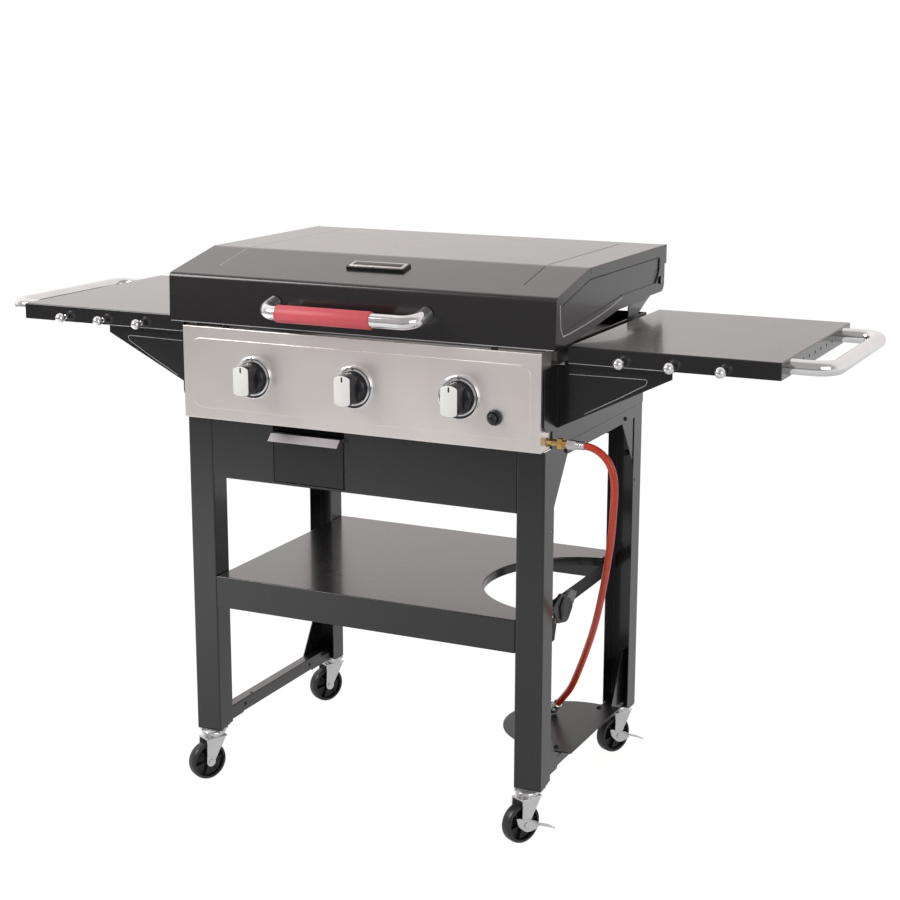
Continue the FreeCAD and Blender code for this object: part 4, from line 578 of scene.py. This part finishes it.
# The griddle plate: thick rolled steel, seasoned dark with oil, its welded walls a little browner.
# It rests in the firebox and carries a grease trough along its front edge.

paint(node["griddle_plate"], finish("seasoned_steel", (0.03, 0.026, 0.023), 0.42, mottle=(9, 0.9),
                                    grain=(300, EVEN), relief=(0.2, 0.0004), Metallic=0.5))


# The control panel: brushed stainless sheet, folded back all round, with a raised pressed field.
# Its brushing runs along the panel; its colour carries painted shade towards its left end and painted light
# towards its right end.

def brushed(name, colour, roughness, stretch):
    """Metal with streaks: its relief is noise that the stretch draws out along the brushing."""
    return finish(name, colour, roughness, mottle=(7, 0.12), grain=(160, stretch), relief=(0.25, 0.0002),
                  edge=FOLD_RADIUS, Metallic=0.85)


def recolour(material, colour):
    """Links an output to the shader's Base Color in place of the mottled tone."""
    graph = material.node_tree
    graph.links.new(colour, graph.nodes["Principled BSDF"].inputs["Base Color"])


PANEL_SHADE_LEFT, PANEL_LIGHT_RIGHT = 0.86, 1.08
panel_steel = brushed("brushed_panel", (0.90, 0.85, 0.83), 0.36, (0.06, 4, 4))
panel_graph = panel_steel.node_tree
panel_along = split(panel_graph, coordinates(panel_graph))["X"]
# painted light and shade: the colour is scaled from darker at the left end to lighter at the right end
panel_painted_light = ramp(panel_graph, panel_along, -0.4, 0.2, PANEL_SHADE_LEFT, PANEL_LIGHT_RIGHT)
recolour(panel_steel, scaled(panel_graph, panel_graph.nodes["tone"].outputs["Colour"], panel_painted_light))
paint(node["control_panel"], panel_steel)


# The knob bezels: deep-drawn chromed rings, with a nought, a tick and a widening arc printed in black.
# The print is a thin layer on the ring's sloping face.

chrome = finish("chrome_plate", (0.86, 0.86, 0.87), 0.08, mottle=(20, 0.25), grain=(60, EVEN),
                relief=(0.03, 0.0005), Metallic=0.9)
print_black = finish("print_black", (0.02, 0.02, 0.021), 0.5, mottle=(300, 0.4))
TO_FRONT = (0, -1, 0)
KNOB_PITCH, KNOB_HIGH, PANEL_FACE = 200.5, 787.0, -253.0
knob_places = [at((number * KNOB_PITCH, PANEL_FACE, KNOB_HIGH)) for number in (-1, 0, 1)]
RING = [(0, 29), (0, 37.5), (0.5, 38), (4.2, 38), (5.6, 37.6), (6.6, 36.7), (6.9, 35.8), (6.4, 34.4),
        (5.4, 32.8), (4.7, 31.4), (4.9, 30.8), (5.8, 30.3), (6, 29.6), (5.7, 29)]
RING_FACE = np.array([(31.4, 4.7), (32.8, 5.4), (34.4, 6.4), (35.8, 6.9), (36.7, 6.6)])
ARC_FROM, ARC_NARROW, ARC_TO = -128, -30, -4
ARC_RADIUS = 34.2
NOUGHT_HIGH, NOUGHT_OUT = 34.1, -6.4


def printed(centre, angles, inner, outer):
    """A thin layer on the ring between two radii, for each angle; its height follows the ring's face."""
    share = np.linspace(0, 1, 4)
    radii = np.concatenate([inner[:, None] + (outer - inner)[:, None] * share,
                            inner[:, None] + (outer - inner)[:, None] * share[::-1]], 1)
    height = np.interp(radii, RING_FACE[:, 0], RING_FACE[:, 1]) + np.repeat((-0.1, 0.1), 4)
    points = np.stack([radii * np.cos(angles)[:, None], -height, radii * np.sin(angles)[:, None]], -1) / 1000
    return capped(centre + points)


def nought(centre):
    """A flattened ring whose middle line is an ellipse, above the knob."""
    turn = np.linspace(0, 2 * math.pi, 32, endpoint=False)
    path = np.stack([1.7 * np.cos(turn), np.full(32, NOUGHT_OUT), NOUGHT_HIGH + 2.5 * np.sin(turn)], -1)
    out = np.stack([np.cos(turn), np.zeros(32), np.sin(turn)], -1)
    section = np.linspace(0, 2 * math.pi, 8, endpoint=False)
    points = (path[:, None] + 0.6 * np.cos(section)[None, :, None] * out[:, None]
              + 0.5 * np.sin(section)[None, :, None] * np.array(TO_FRONT))
    return capped(centre + points / 1000, close_rows=True)


rings = []
for centre in knob_places:
    sweep = np.radians(np.linspace(ARC_FROM, ARC_TO, 60))
    wide = np.interp(sweep, np.radians((ARC_FROM, ARC_NARROW, ARC_TO)), (3.4, 1.6, 0.7))
    tick = np.radians(np.linspace(1.5, 3.5, 4))
    rings += [
        (turned(RING, centre, TO_FRONT, around=96, close_rows=True), 0),
        (printed(centre, sweep, ARC_RADIUS - wide / 2, ARC_RADIUS + wide / 2), 1),
        (printed(centre, tick, np.full(4, 33.0), np.full(4, 35.4)), 1),
        (nought(centre), 1),
    ]
fit(build("bezel_rings", rings, [chrome, print_black]), "cart", "chrome_tube", "knob_bezels")


# The knobs: moulded black, a domed skirt crossed by a broad bar whose front carries a pale satin plate.
# A short black pointer is printed at the plate's top.

def bar_outline(half_wide, round_end, power=26, steps=240):
    """Straight flanks and round ends that meet in small corners.

    The distance from the middle is the smaller of those of the flanks and of the ends' circle, smoothed by a
    power mean: the higher the power, the smaller the corners.
    """
    angle = np.linspace(0, 2 * math.pi, steps, endpoint=False)
    reach = ((np.abs(np.cos(angle)) / half_wide) ** power + (1 / round_end) ** power) ** (-1 / power)
    return np.column_stack([reach * np.cos(angle), reach * np.sin(angle)])


knob_black = finish("knob_black", (0.014, 0.014, 0.018), 0.2, mottle=(60, 0.2))
knob_plate = finish("knob_plate", (0.78, 0.78, 0.75), 0.42, mottle=(90, 0.08), grain=(300, (0.1, 1, 6)),
                    relief=(0.08, 0.0002))
DOME = [(4.7, 25.5), (4.7, 27.4), (5.2, 28), (9.2, 28), (9.9, 27.5), (9.9, 26.6), (11.6, 25.6), (13.6, 23.4),
        (15.2, 20), (16.2, 15), (16.8, 9), (17, 4)]
BAR = bar_outline(16.2, 27.2)
PLATE = bar_outline(15.5, 26.6)
POINTER = rounded(oblong(-1.6, 15.5, 1.6, 24.2), 0.5)
for number, centre in enumerate(knob_places, 1):
    knob = build("knob_%d_moulding" % number, [
        (turned(DOME, centre, TO_FRONT, around=96), 0),
        (slab(BAR, centre, [(8, 0.2), (42.4, 0), (43.3, 0.3), (43.8, 1.0)]), 0),
        (slab(PLATE, centre, [(43, 0), (43.7, 0), (44, 0.5)]), 1),
        (slab(POINTER, centre, [(43.8, 0), (44.1, 0)]), 2),
    ], [knob_black, knob_plate, print_black])
    fit(knob, "knob_%d" % number, "knob_plastic", "knob_%d" % number)


# The igniter: a moulded black collar with a screwed barrel behind the panel, and a domed push button.
# The collar has finger notches round its rim.

igniter_black = finish("igniter_black", (0.014, 0.014, 0.015), 0.25, mottle=(90, 0.3))
igniter_place = at((265.0, PANEL_FACE, 758.0))
COLLAR = [(-40, 8.5), (-40, 11), (0, 11), (0, 13.1), (0.4, 13.5), (3.2, 13.5), (4.2, 13.2), (6.4, 12.2),
          (7.6, 11.6), (8, 11.0), (8, 9.0), (7.4, 8.45)]
BUTTON = [(-28, 8.2), (13.0, 8.2), (14.6, 7.8), (16.0, 6.8), (17.0, 5.2), (17.6, 3.4), (17.9, 1.4)]
NOTCHES, NOTCH_DEEP, NOTCHED_FROM = 12, 0.0011, 0.0121


def notched(points):
    """Draws the collar's outer points in front of the panel in by a clipped cosine of the angle."""
    from_axis = points - igniter_place
    around_axis = np.arctan2(from_axis[:, 2], from_axis[:, 0])
    outer = (np.hypot(from_axis[:, 0], from_axis[:, 2]) > NOTCHED_FROM) * (from_axis[:, 1] < -0.0001)
    notch = np.clip(np.cos(around_axis * NOTCHES) - 0.35, 0, 1) * NOTCH_DEEP * outer
    from_axis[:, 0] -= notch * np.cos(around_axis)
    from_axis[:, 2] -= notch * np.sin(around_axis)
    return igniter_place + from_axis


collar_points, collar_faces = turned(COLLAR, igniter_place, TO_FRONT, around=96, close_rows=True)
fit(build("igniter_collar", [((notched(collar_points), collar_faces), 0)], [igniter_black]), "cart",
    "black_plastic", "igniter_body")
fit(build("igniter_cap", [(turned(BUTTON, igniter_place, TO_FRONT, around=64), 0)], [igniter_black]),
    "igniter_button", "black_plastic", "igniter_button")


# The gas inlet: machined brass with a hexagon and a male thread; the hose's swivel nut and crimp follow it.
# Both hexagons have chamfered corners and the crimp has rolled grooves.

brass = finish("machined_brass", (0.74, 0.50, 0.20), 0.13, mottle=(90, 0.3), grain=(700, (4, 0.2, 0.2)),
               relief=(0.08, 0.0002), Metallic=0.95)
inlet_place = at((342.0, -222.0, 718.0))
INLET = [(0, 6.8), (16, 6.8), (16.4, 6.2), (24, 6.2)] + grooved(32, 6.8, 5, 1.5, 0.8) + [(40.6, 6.2)]
CRIMP = [(56.6, 6.0), (57.4, 7.1)] + grooved(58, 7.3, 3, 4.2, 0.6) + [(71.2, 7.2), (71.9, 6.2)]
fit(build("inlet_fitting", [
    (turned(INLET, inlet_place, (1, 0, 0)), 0),
    (turned([(23.5, 8.4), (24.6, 9.6), (31.6, 9.6), (32.6, 8.4)], inlet_place, (1, 0, 0), around=6), 0),
], [brass]), "cart", "brass_fitting", "gas_inlet")
fit(build("swivel_nut", [
    (turned([(40.2, 7.4), (41.2, 8.6), (55.6, 8.6), (56.8, 7.4)], inlet_place, (1, 0, 0), around=6), 0),
    (turned(CRIMP, inlet_place, (1, 0, 0)), 0),
], [zinc]), "cart", "zinc_steel", "hose_nut")
paint(node["gas_valves"], brass)
for name in ("gas_manifold", "valve_stem_1", "valve_stem_2", "valve_stem_3"):
    paint(node[name], zinc)


# The burners: stainless tubes, blued by heat, and a glazed insulator beside each.
# They lie in the firebox under the plate.

paint(node["burners"], finish("heated_steel", (0.42, 0.36, 0.31), 0.4, mottle=(16, 0.8),
                              grain=(260, (3, 0.2, 3)), relief=(0.2, 0.0003), Metallic=0.9))
paint(node["igniter_electrodes"], finish("white_ceramic", (0.8, 0.78, 0.72), 0.2, mottle=(60, 0.1)))


# The grease cup: folded sheet, black outside, with a bare bright lip along its front edge.
# It slides in flanges under the panel, past a thin black baffle round its window. Narrow strips of painted
# shade, near-black and dull, lie over the slot above it and over the seams beside the front legs.

cup_black = coated("cup_black", 0.3, Coat_Weight=0.15, Coat_Roughness=0.12)
cup_graph = cup_black.node_tree
LIP_ALONG = float(MIDDLE[1]) - 0.2403
cup_along = split(cup_graph, coordinates(cup_graph))["Y"]
lip_mask = ramp(cup_graph, cup_along, LIP_ALONG - 0.0005, LIP_ALONG, 1.0, 0.0)
cup_tone = cup_graph.nodes.new("ShaderNodeMix")
cup_tone.data_type = "RGBA"
cup_graph.links.new(lip_mask, cup_tone.inputs["Factor"])
cup_graph.links.new(cup_graph.nodes["tone"].outputs["Colour"], cup_tone.inputs["A"])
cup_tone.inputs["B"].default_value = (0.4, 0.38, 0.4, 1)
recolour(cup_black, cup_tone.outputs["Result"])
cup_graph.links.new(lip_mask, cup_graph.nodes["Principled BSDF"].inputs["Metallic"])
paint(node["grease_cup"], cup_black)
BAFFLE = [(-196, 594.9), (-5, 594.9), (-5, 681), (-26.5, 681), (-26.5, 599), (-173.5, 599), (-173.5, 681),
          (-196, 681)]
SEAM, SEAM_HALF = 299.5, 3.5
baffle_and_painted_shade_black = finish("baffle_and_painted_shade_black", (0.003, 0.003, 0.003), 0.95, mottle=(300, 0.4), relief=(0.3, 0.0002),
                    Specular_IOR_Level=0.1)
# the slot strip and the seam strips are painted shade: near-black sheets where there is only a shaded gap
strips = [(slab(BAFFLE, at((0, -225.5, 0)), [(0, 0), (1.2, 0)]), 0),
          (slab(oblong(-172, 693, -28, 704), at((0, -238.9, 0)), [(0, 0), (0.35, 0)]), 0)]
for side in (1, -1):
    for low, high in ((594, 703), (347.5, 405)):
        outline = oblong(side * SEAM - SEAM_HALF, low, side * SEAM + SEAM_HALF, high)
        strips.append((slab(outline, at((0, -236.3, 0)), [(0, 0), (0.4, 0)]), 0))
fit(build("cup_baffle_and_painted_shade", strips, [baffle_and_painted_shade_black]), "cart", "black_rubber")


# The lid: one folded sheet with pressed side panels welded into its ends, powder-coated black.
# A bare black plate with a plain steel frame stands on its slope.

paint(node["lid_shell"], powder)
paint(node["lid_sides"], coated("powder_side", 0.27, IOR=1.5, Coat_Weight=0.2, Coat_Roughness=0.1))
BROW_AHEAD, BROW_HIGH = 252, 962.6
SLOPE_ANGLE = math.atan2(33.4, 149.7)
SLOPE_UP = (0, math.cos(SLOPE_ANGLE), math.sin(SLOPE_ANGLE))
SLOPE_OUT = (0, -math.sin(SLOPE_ANGLE), math.cos(SLOPE_ANGLE))


def on_slope(along, ahead):
    """A point of the lid's slope at a distance ahead of the middle."""
    return along, -ahead, BROW_HIGH + math.tan(SLOPE_ANGLE) * (BROW_AHEAD - ahead)


badge_start = at(on_slope(-54.0, 179.5)) + (0, 0, 0.00002)
badge_steel = brushed("badge_steel", (0.62, 0.6, 0.59), 0.3, (0.05, 4, 4))
badge_black = finish("badge_black", (0.008, 0.008, 0.009), 0.3, mottle=(90, 0.3))
fit(build("lid_badge", [
    (slab(rounded(oblong(*corners), radius), badge_start, levels, up=SLOPE_UP), colour)
    for corners, radius, levels, colour in (
        ((0, 0, 112, 33), 3, [(0, 0), (4.4, 0), (5, 0.6)], 0),
        ((3.5, 5, 108.5, 30), 2, [(4.6, 0), (5.5, 0), (5.8, 0.5)], 1),
        ((9, 10, 103, 25), 1.5, [(5.4, 0), (6.0, 0), (6.2, 0.3)], 0),
    )
], [badge_black, badge_steel]), "lid", "panel_steel", "badge_plate")


# The lid's pressed lines: the raised field's step on the top and slope, and the rims of the side pressings.
# Each is a narrow low bead on the lid's sheet; the dark ones are painted shade and the pale ones painted
# highlight.

# painted light: a near-black dull bead for shade and a pale grey bead for highlight on the black coat
painted_shade_bead = finish("painted_shade_bead", (0.004, 0.004, 0.004), 0.6, mottle=(200, 0.4), Specular_IOR_Level=0.2)
painted_highlight_bead = finish("painted_highlight_bead", (0.42, 0.41, 0.43), 0.4, mottle=(200, 0.4))
SHADE_LINE, HIGHLIGHT_LINE = 0, 1


def bead(corners, wide, high, out, gap=6.0):
    """A low round bead along straight runs; out is the sheet's outward direction.

    The runs get points about every gap millimetres, so that the bead stays narrow where it bends.
    """
    corners = np.array(corners, float)
    pieces = [corners[:1]]
    for start, stop in zip(corners[:-1], corners[1:]):
        count = max(2, int(np.linalg.norm(stop - start) / gap))
        pieces.append(start + (stop - start) * np.linspace(0, 1, count + 1)[1:, None])
    path = np.concatenate(pieces) / 1000
    direction = np.gradient(path, axis=0)
    direction /= np.linalg.norm(direction, axis=1)[:, None]
    across = np.cross(np.array(out, float), direction)
    across /= np.linalg.norm(across, axis=1)[:, None]
    angle = np.linspace(0, 2 * math.pi, 12, endpoint=False)
    level = np.cos(angle)[None, :, None] * across[:, None] * wide / 2000
    rise = np.sin(angle)[None, :, None] * np.array(out, float) * high / 1000
    return capped(MIDDLE + path[:, None] + level + rise)


LID_SIDE, LID_TOP, LID_FRONT = 372.0, 996, -255
UPPER_RIM = ((-228.5, 948), (-104, 976.6), (-60, 976.6), (250, 975.6), (256, 957), (237, 947), (230.6, 928))
LOWER_RIM = ((-237, 950), (-233, 911), (-223, 896.5), (-192, 897.5), (-128, 902), (-59, 908.6), (-3, 915.6),
             (54, 925.6))
END_FOLD = ((-101, 994), (-101, 985))
beads = []
# painted shade along each side pressing's upper rim and end fold, painted highlight along its lower rim
for side in (1, -1):
    for rim, wide, high, gap, tone in ((UPPER_RIM, 1.5, 0.25, 6.0, SHADE_LINE), (END_FOLD, 1.0, 0.25, 3.0, SHADE_LINE),
                                       (LOWER_RIM, 2.4, 0.4, 6.0, HIGHLIGHT_LINE)):
        corners = [(side * LID_SIDE, along, up) for along, up in rim]
        beads.append((bead(corners, wide, high, (side, 0, 0), gap), tone))
# painted shade along the raised field's right step, painted highlight along its left step
for across, tone in ((292, SHADE_LINE), (-298, HIGHLIGHT_LINE)):
    beads.append((bead([(across, 251, LID_TOP), (across, -92, LID_TOP)], 1.6, 0.25, (0, 0, 1)), tone))
    beads.append((bead([on_slope(across, 110), on_slope(across, 200)], 1.6, 0.25, SLOPE_OUT), tone))
# painted highlight along the lid front's lower fold
beads.append((bead([(-369, LID_FRONT, 878.2), (369, LID_FRONT, 878.2)], 1.3, 0.3, TO_FRONT, gap=20), HIGHLIGHT_LINE))
fit(build("lid_painted_lines", beads, [painted_shade_bead, painted_highlight_bead]), "lid", "powder_black")


# The handles: chromed steel tube bent cold; the lid's has a soft red sleeve over its left part.
# A round section is carried along a path of straight runs and arcs.

def piped(path, across, radius, around=40):
    """A round section carried along a flat path, square to its direction; across is the plane's normal."""
    direction = np.gradient(path, axis=0)
    direction /= np.linalg.norm(direction, axis=1)[:, None]
    across = np.array(across, float)
    out = np.cross(across, direction)
    angle = np.linspace(0, 2 * math.pi, around, endpoint=False)
    ring = np.cos(angle)[None, :, None] * out[:, None] + np.sin(angle)[None, :, None] * across
    return capped(path[:, None] + ring * radius)


def bent(foot_a, corner_a, corner_b, foot_b, bend, steps=14):
    """Three straight runs joined by quarter circles, each swept from the run before to the run after."""
    foot_a, corner_a, corner_b, foot_b = np.array([foot_a, corner_a, corner_b, foot_b], float)
    angle = np.linspace(0, math.pi / 2, steps)[:, None]
    pieces = [foot_a[None]]
    for before, corner, after in ((foot_a, corner_a, corner_b), (corner_a, corner_b, foot_b)):
        into = (corner - before) / np.linalg.norm(corner - before)
        away = (after - corner) / np.linalg.norm(after - corner)
        pieces.append(corner - into * bend + bend * (into * np.sin(angle) + away * (1 - np.cos(angle))))
    return at(np.concatenate(pieces + [foot_b[None]]))


lid_bar = bent((-153, -254.3, 923.5), (-153, -300, 913), (139, -300, 913), (139, -254.3, 923.5), 26)
LEAN_OUT = (0, -0.224, 0.975)
fit(build("lid_bar", [(piped(lid_bar, LEAN_OUT, 0.0123), 0)], [chrome]), "lid", "chrome_tube", "lid_handle")
BAR_IN, BAR_OUT, BAR_FRONT, BAR_REAR, BAR_HIGH = 733, 802, -152, 190, 865
for side, word in ((1, "right"), (-1, "left")):
    bar = bent((side * BAR_IN, BAR_FRONT, BAR_HIGH), (side * BAR_OUT, BAR_FRONT, BAR_HIGH),
               (side * BAR_OUT, BAR_REAR, BAR_HIGH), (side * BAR_IN, BAR_REAR, BAR_HIGH), 34)
    fit(build("towel_bar_" + word, [(piped(bar, (0, 0, 1), 0.0127), 0)], [chrome]), "cart", "chrome_tube",
        "shelf_handle_" + word)
grip_red = finish("grip_red", (0.62, 0.085, 0.105), 0.45, mottle=(50, 0.18), grain=(1500, EVEN),
                  relief=(0.12, 0.0002))
GRIP_LONG = 181.0
GRIP_END = [(0, 12.32), (0, 14.3), (0.3, 14.9), (1.1, 15.3)]
SLEEVE = GRIP_END + [(GRIP_LONG - along, radius) for along, radius in GRIP_END[::-1]]
grip = turned(SLEEVE, at((-121.5, -300, 912.5)), (1, 0, 0), around=64, close_rows=True)
fit(build("grip_sleeve", [(grip, 0)], [grip_red]), "lid", "red_rubber", "handle_grip")


# The tool hooks: turned pegs with a ball end, bright plated, riveted through the shelves' front skirts.
# Each has a thin flange against the skirt.

BALL_RADIUS, BALL_OUT = 9.4, 16
PEG_FIRST, PEG_PITCH = 468.5, 85.3
PEG = [(0.02, 4.2), (0.9, 4.2), (1.3, 3.7), (1.5, 3.0), (7.0, 3.0)] + [
    (BALL_OUT + BALL_RADIUS * math.sin(turn), BALL_RADIUS * math.cos(turn))
    for turn in np.radians(np.linspace(-72, 84, 26))]
pegs = [(turned(PEG, at((side * (PEG_FIRST + PEG_PITCH * step), -207.0, 858.8)), TO_FRONT), 0)
        for side in (1, -1) for step in range(3)]
fit(build("hook_pegs", pegs, [chrome]), "cart", "chrome_tube", "tool_hooks")


# The shelves' pressed lines: the skirts' lower hems and the braces' raised fields, where the coat catches
# light. They are narrow pale beads of painted highlight.

BRACE_FIELD = ((372, 829.8), (505, 831.6), (508, 829), (506, 822.5), (459, 796), (400, 765))
hems = []
# painted highlight along each hem and round each brace's field
for side in (1, -1):
    hem = [(side * 376, -207.1, 850.9), (side * 546, -207.1, 850.9)]
    field = [(side * across, -192.7, up) for across, up in BRACE_FIELD]
    hems += [(bead(hem, 1.1, 0.3, TO_FRONT, gap=20), 0), (bead(field, 1.1, 0.3, TO_FRONT), 0)]
fit(build("shelf_painted_highlights", hems, [painted_highlight_bead]), "cart", "powder_black")


# The casters: zinc-plated forks on ball races, moulded wheels with a dark tread.
# Each wheel has a rounded tyre, a thin web with six ribs and a hub.

fork_zinc = finish("fork_zinc", (0.74, 0.74, 0.75), 0.17, mottle=(60, 0.2), grain=(500, EVEN),
                   relief=(0.03, 0.0002), edge=0.0008, Metallic=0.82)
for name in node:
    if name.startswith(("caster_fork", "brake_lever")):
        paint(node[name], fork_zinc)
SWIVEL_ACROSS, SWIVEL_ALONG = 321.7, 228.5
RACE = [(0, 20.5), (-1.2, 22.6), (-3.4, 23.4), (-5.4, 22.8), (-7.6, 20.8), (-8.8, 19.2), (-8.8, 4),
        (-12.8, 4), (-12.8, 6.5), (-15.5, 6.5)]
TOP_PLATE = rounded(oblong(-21.5, -9.4, 27, 20), 3)
TOP_LEVELS = [(0, 0.4), (0.4, 0), (2.4, 0), (2.6, 0.3)]
tops = []
for side in (-1, 1):
    for end in (-1, 1):
        stand = at((side * SWIVEL_ACROSS, end * SWIVEL_ALONG, 100.8))
        tops.append((turned(RACE, stand, (0, 0, 1), around=72), 0))
        outline = TOP_PLATE * (side, -end)
        if side * end > 0:
            outline = outline[::-1]
        tops.append((slab(outline, stand - (0, 0, 0.0014), TOP_LEVELS, up=(0, 1, 0)), 0))
fit(build("caster_tops", tops, [fork_zinc]), "cart", "zinc_steel", "caster_plates")
tyre_black = finish("tyre_black", (0.02, 0.02, 0.02), 0.34, mottle=(70, 0.35), grain=(600, EVEN),
                    relief=(0.15, 0.0003))
hub_black = finish("hub_black", (0.008, 0.008, 0.009), 0.4, mottle=(90, 0.3))
CASTER_TURN = math.radians(63.5)
AXLE_HIGH, TRAIL = 42.0, 0.0155
FORWARD = np.array((math.cos(CASTER_TURN), math.sin(CASTER_TURN), 0))
AXLE_WAY = np.array((-math.sin(CASTER_TURN), math.cos(CASTER_TURN), 0))
HALF_TYRE = [(9.2, 29.0), (10.4, 29.8), (10.9, 31.2), (10.6, 33.0), (9.4, 34.5), (7.2, 35.4), (4.0, 35.9),
             (0, 36)]
TYRE = [(-across, up) for across, up in HALF_TYRE] + HALF_TYRE[-2::-1]
HALF_HUB = [(11.4, 3.6), (11.4, 7.4), (10.8, 8.4), (3.2, 9.6), (2.5, 11), (2.5, 26.4), (3.4, 28), (8.6, 28.8),
            (8.6, 29.6)]
HUB = [(-across, up) for across, up in HALF_HUB] + HALF_HUB[::-1]
RIB = rounded(oblong(8.5, -8.4, 28.9, 8.4), 0.6, 3)
RIB_LEVELS = [(0, 0.3), (0.3, 0), (1.9, 0), (2.2, 0.3)]
RIBS, FIRST_RIB = 6, 12
CORNERS = (("front_left", -1, -1), ("front_right", 1, -1), ("rear_left", -1, 1), ("rear_right", 1, 1))
for word, side, end in CORNERS:
    axle = at((side * SWIVEL_ACROSS, end * SWIVEL_ALONG, AXLE_HIGH)) - FORWARD * TRAIL
    patches = [(turned(TYRE, axle, AXLE_WAY, around=72, close_rows=True), 0),
               (turned(HUB, axle, AXLE_WAY, around=72, close_rows=True), 1)]
    for step in range(RIBS):
        spoke = math.radians(360 / RIBS * step + FIRST_RIB)
        radial = FORWARD * math.cos(spoke) + np.array((0, 0, math.sin(spoke)))
        start = axle - np.cross(radial, AXLE_WAY) * 0.0011
        patches.append((slab(RIB, start, RIB_LEVELS, across=radial, up=AXLE_WAY), 1))
    fit(build("wheel_%s_moulding" % word, patches, [tyre_black, hub_black]), "wheel_" + word, "black_plastic",
        "wheel_" + word)


# The lid's bumpers: soft black rubber buttons.
# They stand on the panel's upper edge and carry the closed lid.

paint(node["lid_bumpers"], finish("bumper_rubber", (0.012, 0.012, 0.012), 0.6, mottle=(120, 0.4)))
